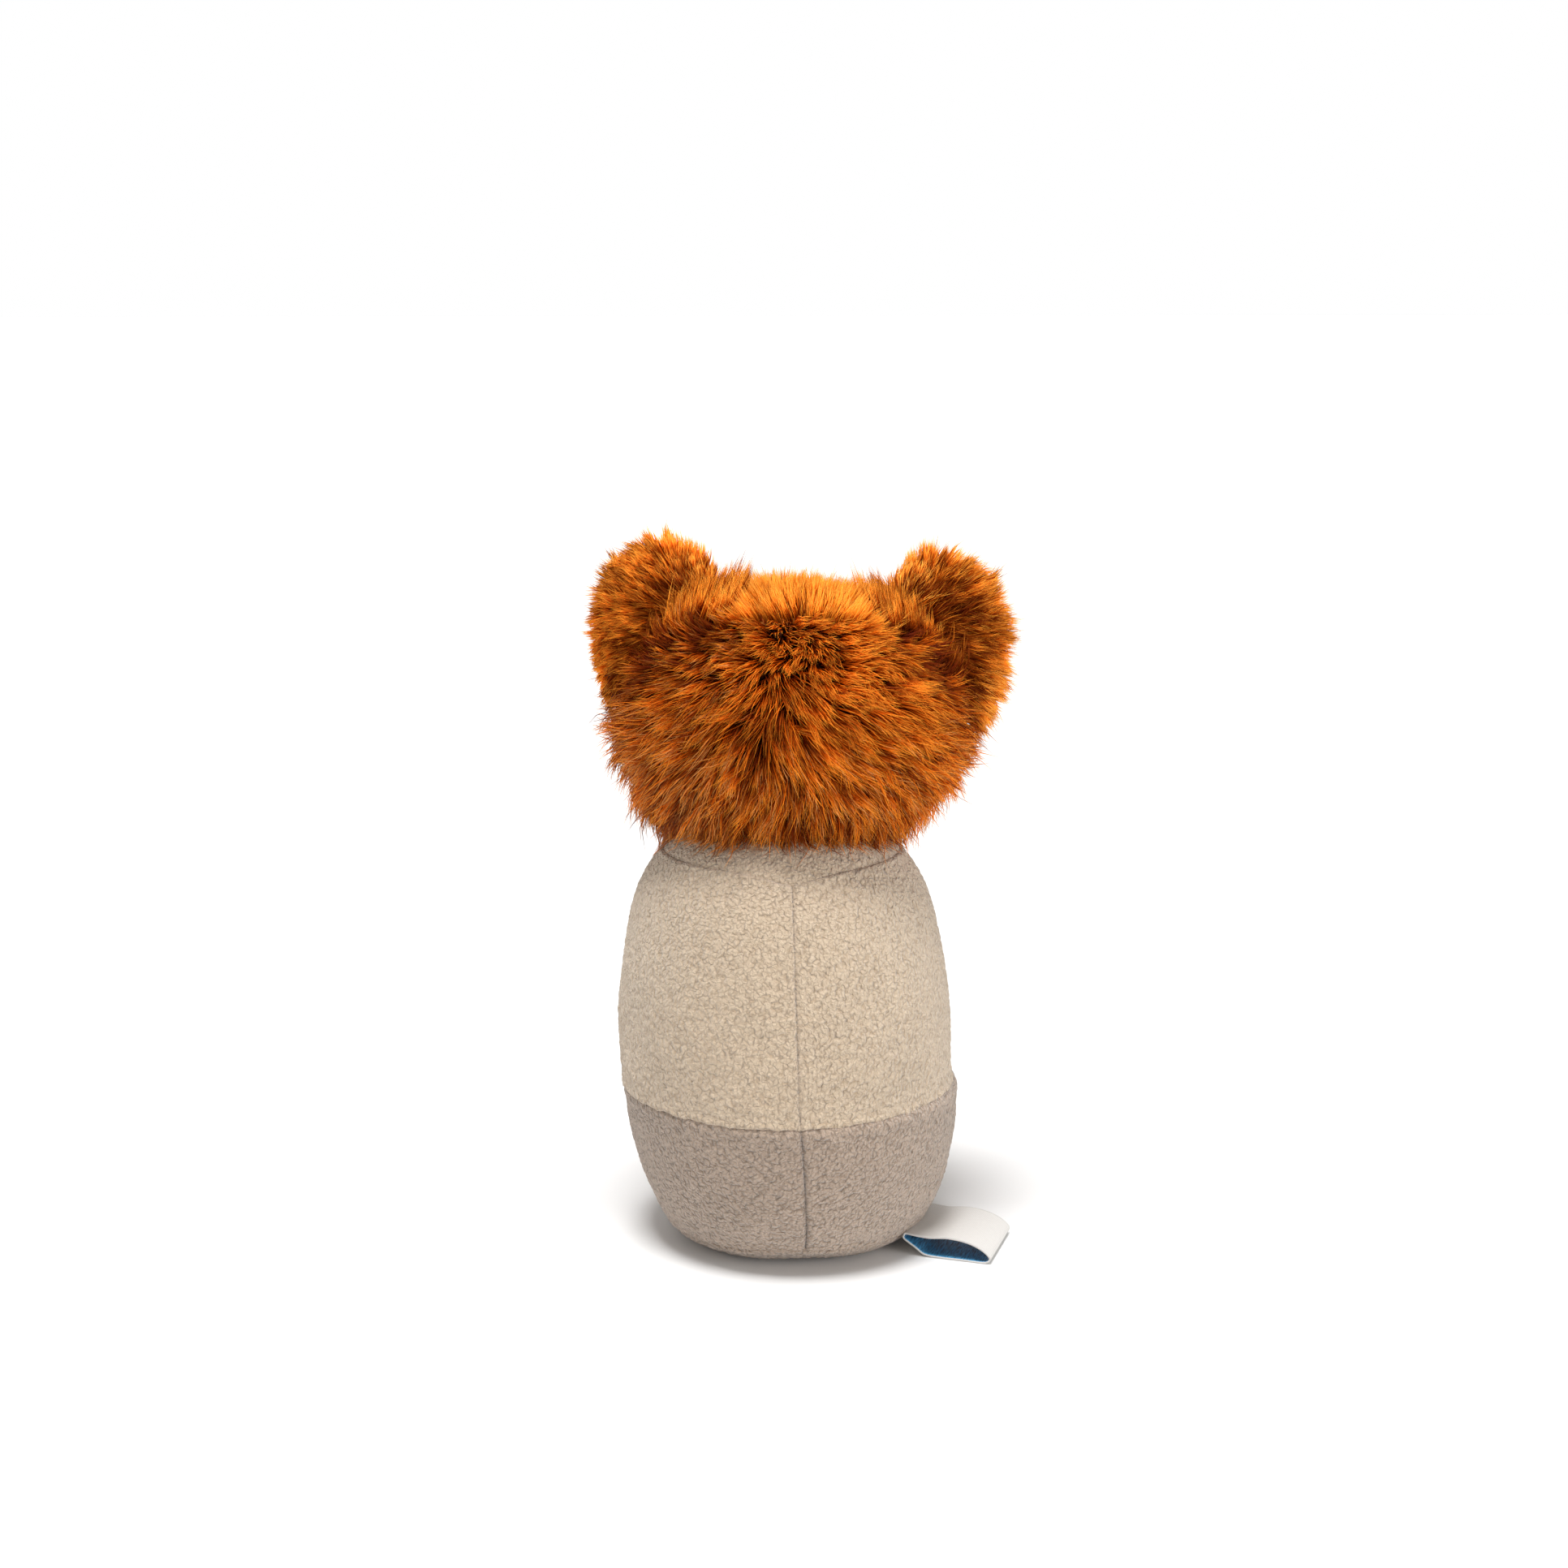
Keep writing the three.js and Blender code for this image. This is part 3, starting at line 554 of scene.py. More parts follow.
def copy_of(node: str) -> Piece:
    """A copy of a CAD node with its doubles merged."""
    piece = add(node, frame["nodes"][node].data.copy())
    piece.data.materials.clear()
    merge_doubles(piece, 0.01 * MM)
    return piece


def rounded(node: str, voxel: float, rounds: int) -> Piece:
    """A copy of a CAD node with its edges softened.

    Args:
        node: the CAD node.
        voxel: size of the even cells that it is remade of, in metres.
        rounds: how many times it is smoothed.

    Returns:
        The copy.
    """
    piece = copy_of(node)
    apply_modifier(piece, "REMESH", mode="VOXEL", voxel_size=voxel)
    apply_modifier(piece, "SMOOTH", factor=0.5, iterations=rounds)
    bpy.ops.object.shade_smooth()
    return piece


def grid(name: str, across: int, up: int) -> Piece:
    """A flat square grid, 1 m wide about the origin, which a piece's shape is then given to."""
    deselect()
    bpy.ops.mesh.primitive_grid_add(x_subdivisions=across, y_subdivisions=up, size=1)
    bpy.context.object.name = name
    return bpy.context.object


def dress(piece: Piece, material: Material, body: str, slot: str, *nodes: str) -> None:
    """Gives a piece its finish and its body, and hides the CAD nodes that it replaces.

    Args:
        piece: the finished mesh.
        material: its material.
        body: the CAD body that it moves with.
        slot: the record's material slot; not used.
        nodes: CAD nodes that it replaces.
    """
    piece.data.materials.clear()
    piece.data.materials.append(material)
    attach(piece, body)
    if nodes:
        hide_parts(*nodes)
    log.info("%s: %d faces", piece.name, len(piece.data.polygons))


# Torso


@dataclass(frozen=True)
class TorsoForm:
    """The stuffed body's outline, turned about Z, which leans to the toy's left as it rises. Metres.

    Attributes:
        sway: heights, and how far the body stands to the left there, in millimetres.
        heel: how far the base's near rim stands clear of the floor.
        heel_half: how far round to each side of the back it does so, in radians.
        heel_r, heel_z: the radii and heights between which that lift comes and goes.
        flat, curve, side: how many points the profile has under the foot, up to curve_z and above it.
    """

    base_r: float = 28 * MM
    body_r: float = 49.1 * MM
    belly_z: float = 56 * MM
    fullness: float = 2.6
    sway: tuple[tuple[float, ...], ...] = ((0, 15, 34, 54, 64, 84, 103), (-1, -1, 0.1, 1.7, 1.9, 2.4, 2.7))
    shoulder_z: float = 102 * MM
    neck_z: float = 89 * MM
    neck_r: float = 45.3 * MM
    heel: float = 1.6 * MM
    heel_half: float = math.radians(38)
    heel_r: tuple[float, float] = (16 * MM, 29 * MM)
    heel_z: tuple[float, float] = (9 * MM, 1 * MM)
    curve_z: float = 30 * MM
    top_z: float = 131.5 * MM
    flat: int = 60
    curve: int = 240
    side: int = 400

    def radius(self, z: Points) -> Points:
        """The body's radius at a height."""
        end = math.sqrt(self.neck_r**2 - (self.shoulder_z - self.neck_z) ** 2)
        reach = self.shoulder_z - self.belly_z
        power = (self.shoulder_z - self.neck_z) / end * reach / (self.body_r - end)
        share = 1 - np.clip(1 - z / self.belly_z, 0, 1) ** self.fullness
        foot = self.base_r + (self.body_r - self.base_r) * np.sqrt(share)
        up = np.clip((z - self.belly_z) / reach, 0, 1)
        shoulder = self.body_r - (self.body_r - end) * up**power
        dome = np.sqrt(np.maximum(self.neck_r**2 - (z - self.neck_z) ** 2, 0))
        return np.where(z < self.belly_z, foot, np.where(z < self.shoulder_z, shoulder, dome))

    def profile(self) -> tuple[Points, Points, Points]:
        """The outline from the middle of the floor to the neck, as run, radius and height."""
        heights = np.concatenate([np.zeros(self.flat), np.linspace(0, 1, self.curve) ** 2 * self.curve_z,
                                  np.linspace(self.curve_z + 0.1 * MM, self.top_z, self.side)])
        radii = self.radius(heights)
        radii[:self.flat] = np.linspace(0, self.base_r, self.flat)
        run = np.concatenate([[0], np.cumsum(np.hypot(np.diff(radii), np.diff(heights)))])
        return run, radii, heights

    def run_at(self, z: Points) -> Points:
        """How far along the outline a height lies, above the floor's edge."""
        run, _, heights = self.profile()
        return np.interp(z, heights[self.flat:], run[self.flat:])

    def surface(self, turn: Points, run: Points, out: Points) -> Points:
        """Points on the body.

        Args:
            turn: radians round from the toy's left, over its back.
            run: metres along the outline.
            out: metres outside the outline, square to it.

        Returns:
            Rows of x, y, z.
        """
        runs, radii, heights = self.profile()
        r, z = np.interp(run, runs, radii), np.interp(run, runs, heights)
        step = 0.4 * MM
        dr = np.interp(run + step, runs, radii) - np.interp(run - step, runs, radii)
        dz = np.interp(run + step, runs, heights) - np.interp(run - step, runs, heights)
        long = np.maximum(np.hypot(dr, dz), 1e-9)
        r, z = r + out * dz / long, z - out * dr / long
        push = np.interp(z / MM, *self.sway) * MM
        back = np.exp(-(((turn - math.pi / 2) / self.heel_half) ** 2))
        z = z + self.heel * back * smooth(*self.heel_r, r) * smooth(*self.heel_z, z)
        return np.stack([r * np.cos(turn) + push, r * np.sin(turn), z], axis=1)


@dataclass(frozen=True)
class Edge:
    """How a panel behaves along one of its seams.

    Attributes:
        depth: how far its edge is drawn into the seam.
        reach: how far from the edge that starts.
        roll: how far the cloth stands up just before it.
    """

    depth: float = 1.5 * MM
    reach: float = 1.7 * MM
    roll: float = 0.25 * MM

    def lift(self, distance: Points) -> Points:
        """How far the cloth stands out at a distance from its edge."""
        drawn = -self.depth * np.exp(-((distance / self.reach) ** 1.5))
        rolled = self.roll * np.exp(-(((distance - 2.4 * self.reach) / (1.6 * self.reach)) ** 2))
        return drawn + rolled


@dataclass(frozen=True)
class Torso:
    """The fleece panels, base and collar. Metres.

    Attributes:
        toe_z, base_z, collar_z, neck_top_z: heights of the seams and of the collar's upper end.
        base_rise, base_rise_at, base_rise_half: how the base seam is drawn up: how far, and where round.
        collar_dip, collar_dip_half: depth and half width of the collar seam's dip at the back.
        tuck: how far a panel runs on under its neighbour.
        cloth, spacing: thickness of the fleece, and distance between a panel's points.
        seam_half: how far from its edge a panel takes the painted shade of its seam, and has its lumps
            calmed.
        pebble, ragged: height of the fleece's lumps, and how far the body panels' hem wanders.
        closing: how near the ends of a ring lie to be joined.
    """

    form: TorsoForm = TorsoForm()
    toe_z: float = 47.7 * MM
    base_z: float = 5.6 * MM
    base_rise: float = 1.8 * MM
    base_rise_at: float = math.radians(85)
    base_rise_half: float = math.radians(32)
    collar_z: float = 118 * MM
    collar_dip: float = 3 * MM
    collar_dip_half: float = 9 * MM
    neck_top_z: float = 129 * MM
    tuck: float = 0.8 * MM
    cloth: float = 1.6 * MM
    spacing: float = 0.55 * MM
    seam_half: float = 0.9 * MM
    pebble: float = 0.5 * MM
    ragged: float = 0.45 * MM
    closing: float = 0.02 * MM

    def panel(self, name: str, turns: tuple[float, float], low: Callable, high: Callable,
              edges: tuple[Edge | None, Edge | None, Edge | None], proud: Callable | None = None) -> Piece:
        """Cuts one panel, lays it over the body and raises its lumps.

        Args:
            name: the piece's name.
            turns: where it starts and ends round the body, in degrees.
            low: its lower edge's run for each turn.
            high: its upper edge's run for each turn.
            edges: its side, lower and upper seams; None where the cloth runs on.
            proud: how far it stands out, for each turn and share of its height.

        Returns:
            The panel.
        """
        first, last = (math.radians(t) for t in turns)
        spacing = self.spacing * 1
        across = int((last - first) * self.form.body_r / spacing)
        middle = np.array([(first + last) / 2])
        rise = max(int(float(high(middle)[0] - low(middle)[0]) / spacing), 4)
        piece = grid(name, across, rise)
        u, v = (points_of(piece)[:, k] + 0.5 for k in (0, 1))
        turn = first + (last - first) * u
        bottom, top = low(turn), high(turn)
        run = bottom + (top - bottom) * v
        out = self.uneven(turn, run)
        seam = np.zeros(len(u))
        around = self.form.body_r * np.minimum(turn - first, last - turn)
        for edge, distance in zip(edges, (around, run - bottom, top - run)):
            if edge:
                out += edge.lift(distance)
                seam = np.maximum(seam, np.exp(-((distance / self.seam_half) ** 2)))
        if proud:
            out += proud(turn, v)
        grain = self.pebbles(self.form.surface(turn, run, out))
        calm = 1 - 0.6 * seam
        move_points(piece, self.form.surface(turn, run, out + self.pebble * (grain - 0.6) * calm))
        # The lumps' height and the seam's share go to the fleece material, which paints light on the lumps'
        # tops and shade in the seams.
        keep_number(piece, "grain", grain)
        keep_number(piece, "seam", seam)
        bpy.ops.object.shade_smooth()
        apply_modifier(piece, "SOLIDIFY", thickness=self.cloth, offset=-1)
        return piece

    @staticmethod
    def pebbles(points: Points) -> Points:
        """The fleece's curled lumps, from 0 in the pits to 1 on top."""
        bent = points + 0.9 * MM * Noise(2.6 * MM, 5).vectors(points)
        lumps = Noise(1.75 * MM, 7).lumps(bent)
        fine = Noise(0.8 * MM, 9).waves(points)
        return np.clip(0.15 + 1.1 * lumps + 0.16 * fine, 0, 1.2)

    def uneven(self, turn: Points, run: Points) -> Points:
        """Slow swells of the stuffing under the cloth."""
        base = self.form.surface(turn, run, np.zeros(len(turn)))
        return 0.45 * MM * Noise(17 * MM, 3).waves(base) + 0.15 * MM * Noise(7 * MM, 4).waves(base)

    def collar_edge(self, turn: Points) -> Points:
        """The collar seam's run for each turn, with its dip at the centre back."""
        across = np.cos(turn) * self.form.radius(np.array([self.collar_z]))[0]
        back = np.sin(turn) > 0
        dip = self.collar_dip * np.exp(-np.abs(across / self.collar_dip_half) ** 1.3) * back
        return self.form.run_at(self.collar_z - dip)

    def base_edge(self, turn: Points) -> Points:
        """The base seam's run for each turn, which is drawn up a little at the back."""
        back = np.exp(-(((turn - self.base_rise_at) / self.base_rise_half) ** 2))
        return self.form.run_at(self.base_z - 0.2 * MM + self.base_rise * back)

    def level(self, z: float, ragged: float = 0.0) -> Callable:
        """An edge that stays at one height, or wanders from it by up to a ragged length."""
        run = float(self.form.run_at(np.array([z]))[0])

        def edge(turn: Points) -> Points:
            """The edge's run for each turn."""
            ring = np.stack([np.cos(turn), np.sin(turn), 0 * turn], axis=1) * self.form.body_r
            return run + ragged * Noise(2.2 * MM, 8).waves(ring)

        return edge

    @staticmethod
    def toe_bulge(turn: Points, v: Points) -> Points:
        """How far the toe swells out: most on the toy's right, and towards its upper seam."""
        return (0.5 - 0.8 * np.cos(turn)) * MM * smooth(0.3, 1, v)

    def build(self) -> None:
        """Makes the torso's pieces."""
        beige, grey = BEIGE.material(), GREY.material()
        faint = Edge(0.3 * MM, 0.5 * MM, 0.18 * MM)
        soft = Edge(0.55 * MM, 0.6 * MM, 0.1 * MM)
        rolled = Edge(0.9 * MM, 0.55 * MM, 0.4 * MM)
        folded = Edge(0.5 * MM, 0.5 * MM, 0.3 * MM)
        flush = Edge(0.45 * MM, 1.4 * MM, 0.0)
        tucked = Edge(1.5 * MM, 1.2 * MM, 0.3 * MM)
        hem, toe_top = self.level(self.toe_z - 1.1 * MM, self.ragged), self.level(self.toe_z + self.tuck)
        for name, turns in (("left", (-90, 90)), ("right", (90, 270))):
            body = self.panel("body_panel_" + name, turns, hem, self.collar_edge, (faint, rolled, folded))
            dress(body, beige, "torso", BEIGE.name, "body_panel_" + name)
            toe = self.panel("toe_panel_" + name, turns, self.base_edge, toe_top, (soft, rolled, tucked),
                             self.toe_bulge)
            dress(toe, grey, "torso", GREY.name, "toe_panel_" + name)
        collar = self.panel("neck_collar", (-90, 270), lambda turn: self.collar_edge(turn) - self.tuck,
                            self.level(self.neck_top_z), (None, flush, None))
        merge_doubles(collar, self.closing)
        dress(collar, beige, "torso", BEIGE.name, "neck_collar")
        base = self.base(tucked)
        dress(base, grey, "torso", GREY.name, "base_disc")

    def base(self, edge: Edge) -> Piece:
        """The base: a flat round of fleece whose rim rises to its seam."""
        start = self.form.base_r * 0.02
        base = self.panel("base_disc", (-90, 270), lambda turn: np.full(len(turn), start),
                          lambda turn: self.base_edge(turn) + self.tuck, (None, None, edge))
        merge_doubles(base, self.closing)
        points = points_of(base)
        points[:, 2] = np.maximum(points[:, 2], 0.02 * MM)
        move_points(base, points)
        return base


# Fur


class Skin:
    """A surface that pile is planted on, by two shares u and v from 0 to 1."""

    def place(self, u: Points, v: Points) -> Points:
        """Rows of x, y, z for rows of u and v."""
        raise NotImplementedError

    def sample(self, count: int, rng: np.random.Generator) -> tuple[Points, Points, Points, Points]:
        """Spreads points evenly over the surface.

        Args:
            count: how many.
            rng: where the chances come from.

        Returns:
            u, v, places and outward directions.
        """
        steps = 160
        shares = np.linspace(0, 1, steps + 1)
        gu, gv = np.meshgrid(shares, shares, indexing="ij")
        at = self.place(gu.ravel(), gv.ravel()).reshape(steps + 1, steps + 1, 3)
        du, dv = at[1:, :-1] - at[:-1, :-1], at[:-1, 1:] - at[:-1, :-1]
        area = np.linalg.norm(np.cross(du, dv), axis=2).ravel()
        cell = rng.choice(steps * steps, count, p=area / area.sum())
        u = (cell // steps + rng.random(count)) / steps
        v = (cell % steps + rng.random(count)) / steps
        return u, v, self.place(u, v), self.normal(u, v)

    def normal(self, u: Points, v: Points) -> Points:
        """Directions square to the surface."""
        h = 1e-3
        low_u, high_u = np.clip(u - h, 0, 1), np.clip(u + h, 0, 1)
        low_v, high_v = np.clip(v - h, 0, 1), np.clip(v + h, 0, 1)
        across = self.place(high_u, v) - self.place(low_u, v)
        up = self.place(u, high_v) - self.place(u, low_v)
        return unit(np.cross(across, up))


@dataclass(frozen=True)
class Pile:
    """How a pile grows. Lengths in metres, angles in degrees from the skin.

    Attributes:
        length: of a fibre.
        spread: share that lengths vary by.
        width: of a fibre at its root.
        lift: angle at the root.
        lay: angle at the tip.
        tuft: distance between tufts.
        gather: share by which a tuft's tips draw together.
        stray: degrees that tufts wander sideways.
        density: fibres on a square millimetre.
        bends: segments along a fibre.
    """

    length: float
    spread: float
    width: float
    lift: float
    lay: float
    tuft: float
    gather: float
    stray: float
    density: float
    bends: int = 3


@dataclass
class Roots:
    """Where fibres grow, with one row or number for each.

    Attributes:
        at: their places.
        out: directions square to the skin.
        nap: directions that they lie in.
        scale: their lengths as shares of the pile's.
        lift: degrees that they stand steeper than the pile.
        tone: from 0, dark, to 1, light.
        shade: their Shade.
    """

    at: Points
    out: Points
    nap: Points
    scale: Points
    lift: Points
    tone: Points
    shade: Points

    def only(self, chosen: np.ndarray) -> "Roots":
        """The chosen rows."""
        return Roots(*(values[chosen] for values in vars(self).values()))


def thinned(count: int) -> int:
    return int(count * (1))


@dataclass(frozen=True)
class Mottle:
    """How light a coat's fibres are.

    Attributes:
        middle: the tone that the others are added to.
        waves: share, cell in metres and seed of each noise.
        own: how much each fibre varies by itself.
    """

    middle: float
    waves: tuple[tuple[float, float, int], ...]
    own: float

    def tones(self, at: Points, rng: np.random.Generator) -> Points:
        """A tone for each place."""
        tone = np.full(len(at), self.middle)
        for share, cell, seed in self.waves:
            tone += share * Noise(cell, seed).waves(at)
        return tone + rng.normal(0, self.own, len(at))


class Coat:
    """Grows a pile's fibres from roots as closed slender spikes in one mesh.

    Attributes:
        COLUMNS: how many tones the UV map tells apart.
        ROUND: corners round a fibre.
        OWN_STRAY: how much a fibre strays by itself, as a share of its tuft's straying.
        TUFT_TILT, OWN_TILT: degrees that tufts, and fibres in them, stand steeper or flatter.
        WILD, WILD_TILT, WILD_LONG, WILD_GATHER: share of wild fibres, and their tilt, length and gather.
        SWAY, SWAY_TURN: how strongly and how far round a fibre bends sideways.
        TUFT_TONE: how much lighter or darker tufts are.
        AMBER_TONE: the lowest tone of amber fibres.
    """

    COLUMNS = 32
    ROUND = 3
    OWN_STRAY = 0.35
    TUFT_TILT, OWN_TILT = 10, 5
    WILD, WILD_TILT, WILD_LONG, WILD_GATHER = 0.04, 14, 1.2, 0.1
    SWAY, SWAY_TURN = 0.16, 4.2
    TUFT_TONE = 0.3
    AMBER_TONE = 0.5

    def __init__(self, pile: Pile, seed: int, bands: int, keep_out: Callable[[Points], Points]) -> None:
        """Sets the pile, the seed, the number of colour bands and what fibres are pushed out of."""
        self.pile, self.bands, self.keep_out = pile, bands, keep_out
        self.rng = np.random.default_rng(seed)

    def paths(self, roots: Roots) -> tuple[Points, Points]:
        """The fibres' centre lines.

        Args:
            roots: where they grow.

        Returns:
            For each fibre, its points from root to tip, and how much lighter its tuft is.
        """
        pile, rng, count = self.pile, self.rng, len(roots.at)
        chosen = rng.choice(count, max(int(count / max(self.fibres_in_tuft(), 1)), 1), replace=False)
        tree = KDTree(len(chosen))
        for k, index in enumerate(chosen):
            tree.insert(roots.at[index], k)
        tree.balance()
        tuft = np.array([tree.find(p)[1] for p in roots.at])
        heart = roots.at[chosen][tuft]
        wander = np.radians(rng.normal(0, pile.stray, len(chosen)))[tuft]
        wander += np.radians(rng.normal(0, pile.stray * self.OWN_STRAY, count))
        cross = np.cross(roots.out, roots.nap)
        nap = roots.nap * np.cos(wander)[:, None] + cross * np.sin(wander)[:, None]
        reach = rng.normal(1, pile.spread * 0.6, len(chosen))[tuft] * rng.normal(1, pile.spread, count)
        length = pile.length * roots.scale * np.clip(reach, 0.35, 1.5)
        tilt = rng.normal(0, self.TUFT_TILT, len(chosen))[tuft] + rng.normal(0, self.OWN_TILT, count)
        wild = rng.random(count) < self.WILD
        tilt = np.where(wild, tilt + self.WILD_TILT, tilt)
        length = np.where(wild, length * self.WILD_LONG, length)
        gather = np.where(wild, self.WILD_GATHER, pile.gather)
        paths = np.empty((count, pile.bends + 1, 3))
        paths[:, 0] = roots.at
        sway = unit(rng.normal(0, 1, (count, 3)))
        for k in range(1, pile.bends + 1):
            share = k / pile.bends
            angle = pile.lift + (pile.lay - pile.lift) * (share - 0.5 / pile.bends)
            angle = np.radians(angle + tilt * (1.2 - share) + roots.lift * (1.2 - 0.6 * share))
            step = np.cos(angle)[:, None] * nap + np.sin(angle)[:, None] * roots.out
            step = unit(step + self.SWAY * sway * math.sin(self.SWAY_TURN * share))
            paths[:, k] = paths[:, k - 1] + step * (length / pile.bends)[:, None]
        for k in range(1, pile.bends + 1):
            pull = gather * (k / pile.bends) ** 1.3
            paths[:, k] = self.keep_out(paths[:, k] + pull[:, None] * (heart - roots.at))
        return paths, rng.normal(0, self.TUFT_TONE, len(chosen))[tuft]

    def fibres_in_tuft(self) -> float:
        """How many fibres share a tuft."""
        return self.pile.density * (self.pile.tuft / MM) ** 2 * 0.8

    def corners(self, paths: Points, out: Points) -> Points:
        """The corners of each fibre's spike.

        Args:
            paths: the fibres' centre lines.
            out: directions square to the skin.

        Returns:
            For each fibre, ROUND corners at each bend and one at its tip.
        """
        bends, ring = self.pile.bends, self.ROUND
        ahead = unit(np.diff(paths, axis=1))
        side = unit(np.cross(ahead, out[:, None, :] + 1e-4))
        over = np.cross(side, ahead)
        thick = self.pile.width / 2 * self.rng.uniform(0.75, 1.25, len(paths))
        corners = np.empty((len(paths), bends * ring + 1, 3))
        for k in range(bends):
            girth = thick * (1 - 0.8 * (k / bends) ** 1.6)
            for c in range(ring):
                turn = 2 * math.pi * c / ring
                offset = math.cos(turn) * side[:, k] + math.sin(turn) * over[:, k]
                corners[:, k * ring + c] = paths[:, k] + offset * girth[:, None]
        corners[:, -1] = paths[:, -1]
        return corners

    def mesh(self, name: str, roots: Roots) -> Piece:
        """Grows the fibres and makes one mesh of them.

        Args:
            name: the piece's name.
            roots: where they grow.

        Returns:
            The piece, with its UV map.
        """
        paths, lighter = self.paths(roots)
        corners = self.corners(paths, roots.out)
        count, on_each = corners.shape[:2]
        faces, uvs = self.pattern()
        base = np.arange(count) * on_each
        loops = (base[:, None] + np.concatenate(faces)[None, :]).ravel()
        sizes = np.tile([len(f) for f in faces], count)
        tone = np.clip(roots.tone, 0, LIGHTEST) + lighter
        tone = np.where(roots.shade == Shade.AMBER, np.maximum(tone, self.AMBER_TONE), tone)
        column = np.clip((tone * self.COLUMNS).astype(int), 0, self.COLUMNS - 1)
        flat = np.concatenate(uvs)
        u = (column[:, None] + 0.1 + 0.8 * flat[None, :, 0]) / self.COLUMNS
        v = (roots.shade[:, None] + 0.03 + 0.94 * flat[None, :, 1]) / self.bands
        mesh = bpy.data.meshes.new(name)
        mesh.vertices.add(count * on_each)
        mesh.vertices.foreach_set("co", corners.astype(np.float32).ravel())
        mesh.loops.add(len(loops))
        mesh.loops.foreach_set("vertex_index", loops.astype(np.int32))
        mesh.polygons.add(len(sizes))
        mesh.polygons.foreach_set("loop_start", np.concatenate([[0], np.cumsum(sizes)[:-1]]).astype(np.int32))
        layer = mesh.uv_layers.new(name=BAKE_MAP)
        layer.data.foreach_set("uv", np.stack([u, v], axis=2).astype(np.float32).ravel())
        mesh.polygons.foreach_set("use_smooth", np.ones(len(sizes), bool))
        mesh.update(calc_edges=True)
        return add(name, mesh)

    def pattern(self) -> tuple[list[list[int]], list[Points]]:
        """One fibre's faces, by corner number, with their places in its strip of the UV map."""
        bends, ring = self.pile.bends, self.ROUND
        faces: list[list[int]] = [[2, 1, 0]]
        uvs = [np.array([[0.9, 0.0], [0.5, 0.02], [0.1, 0.0]])]
        for k in range(bends):
            here, above = k * ring, (k + 1) * ring
            for c in range(ring):
                d = (c + 1) % ring
                left, right, low, high = c / ring, (c + 1) / ring, k / bends, (k + 1) / bends
                if k < bends - 1:
                    faces.append([here + c, here + d, above + d, above + c])
                    uvs.append(np.array([[left, low], [right, low], [right, high], [left, high]]))
                else:
                    faces.append([here + c, here + d, above])
                    uvs.append(np.array([[left, low], [right, low], [(left + right) / 2, 1.0]]))
        return faces, uvs


# Head


@dataclass(frozen=True)
class HeadForm(Skin):
    """The stuffed head's outer form, which leans to the toy's right and tips forward. Metres."""

    r: float = 49.8 * MM
    z: float = 156 * MM
    rise: float = 38.5 * MM
    drop: float = 40 * MM
    depth: float = 0.9
    crown_fullness: float = 2.25
    jaw_fullness: float = 2.1
    tilt: float = math.radians(5)
    tilt_z: float = 89 * MM
    lean: float = math.radians(3.8)
    lean_z: float = 140 * MM
    sway: float = 3.0 * MM
    under: float = 3.8 * MM

    def radius(self, z: Points) -> Points:
        """Half width of the upright head at a height."""
        up = z >= self.z
        share = np.minimum(np.abs(z - self.z) / np.where(up, self.rise, self.drop), 1)
        power = np.where(up, self.crown_fullness, self.jaw_fullness)
        return self.r * (1 - share**power) ** (1 / power)

    def upright(self, u: Points, v: Points) -> Points:
        """Places on the upright head: u goes round from its left over its back, v from chin to crown."""
        turn = math.pi * (v - 0.5)
        z = self.z + np.where(turn < 0, self.drop, self.rise) * np.sin(turn)
        r = self.radius(z)
        return np.stack([r * np.cos(2 * math.pi * u), self.depth * r * np.sin(2 * math.pi * u), z], axis=1)

    def swayed(self, upright: Points) -> Points:
        """Pushes the jaw to the toy's left, over the body."""
        push = self.sway * smooth(146 * MM, 120 * MM, upright[:, 2])
        return upright + push[:, None] * np.array([1.0, 0, 0])

    def pose(self) -> Matrix:
        """The move that leans the upright head and then tips it."""
        high, low = Matrix.Translation((0, 0, self.lean_z)), Matrix.Translation((0, 0, self.tilt_z))
        leaned = high @ Matrix.Rotation(-self.lean, 4, "Y") @ high.inverted()
        return low @ Matrix.Rotation(self.tilt, 4, "X") @ low.inverted() @ leaned

    def posed(self, points: Points, back: bool = False) -> Points:
        """Moves upright places with the head, or back upright."""
        move = np.array(self.pose().inverted() if back else self.pose())
        return points @ move[:3, :3].T + move[:3, 3]

    def turned(self, directions: Points) -> Points:
        """Turns upright directions with the head."""
        return directions @ np.array(self.pose().to_3x3()).T

    def place(self, u: Points, v: Points) -> Points:
        """Places on the posed head."""
        return self.posed(self.swayed(self.upright(u, v)))

    def behind_seam(self, upright: Points) -> np.ndarray:
        """Whether upright places lie on the long-pile back panels."""
        heights = np.array([0, 150, 170, 179.5, 186.5, 206.5]) * MM
        depths = np.array([-3, 0.5, 4, 13, 33, 80]) * MM
        return upright[:, 1] > np.interp(upright[:, 2], heights, depths)

    def front(self, x: float, z: float) -> float:
        """How far the face stands in front of the upright head's middle."""
        return self.depth * math.sqrt(float(self.radius(np.array(z))) ** 2 - x * x)

    def seat(self, x: float, z: float) -> tuple[Vector, Vector]:
        """A place on the front of the posed head and the direction square to it."""
        h = 0.05 * MM
        slope_x = (self.front(x + h, z) - self.front(x - h, z)) / (2 * h)
        slope_z = (self.front(x, z + h) - self.front(x, z - h)) / (2 * h)
        move = self.pose()
        place = move @ Vector((x, -self.front(x, z), z))
        return place, (move.to_3x3() @ Vector((-slope_x, -1, -slope_z))).normalized()


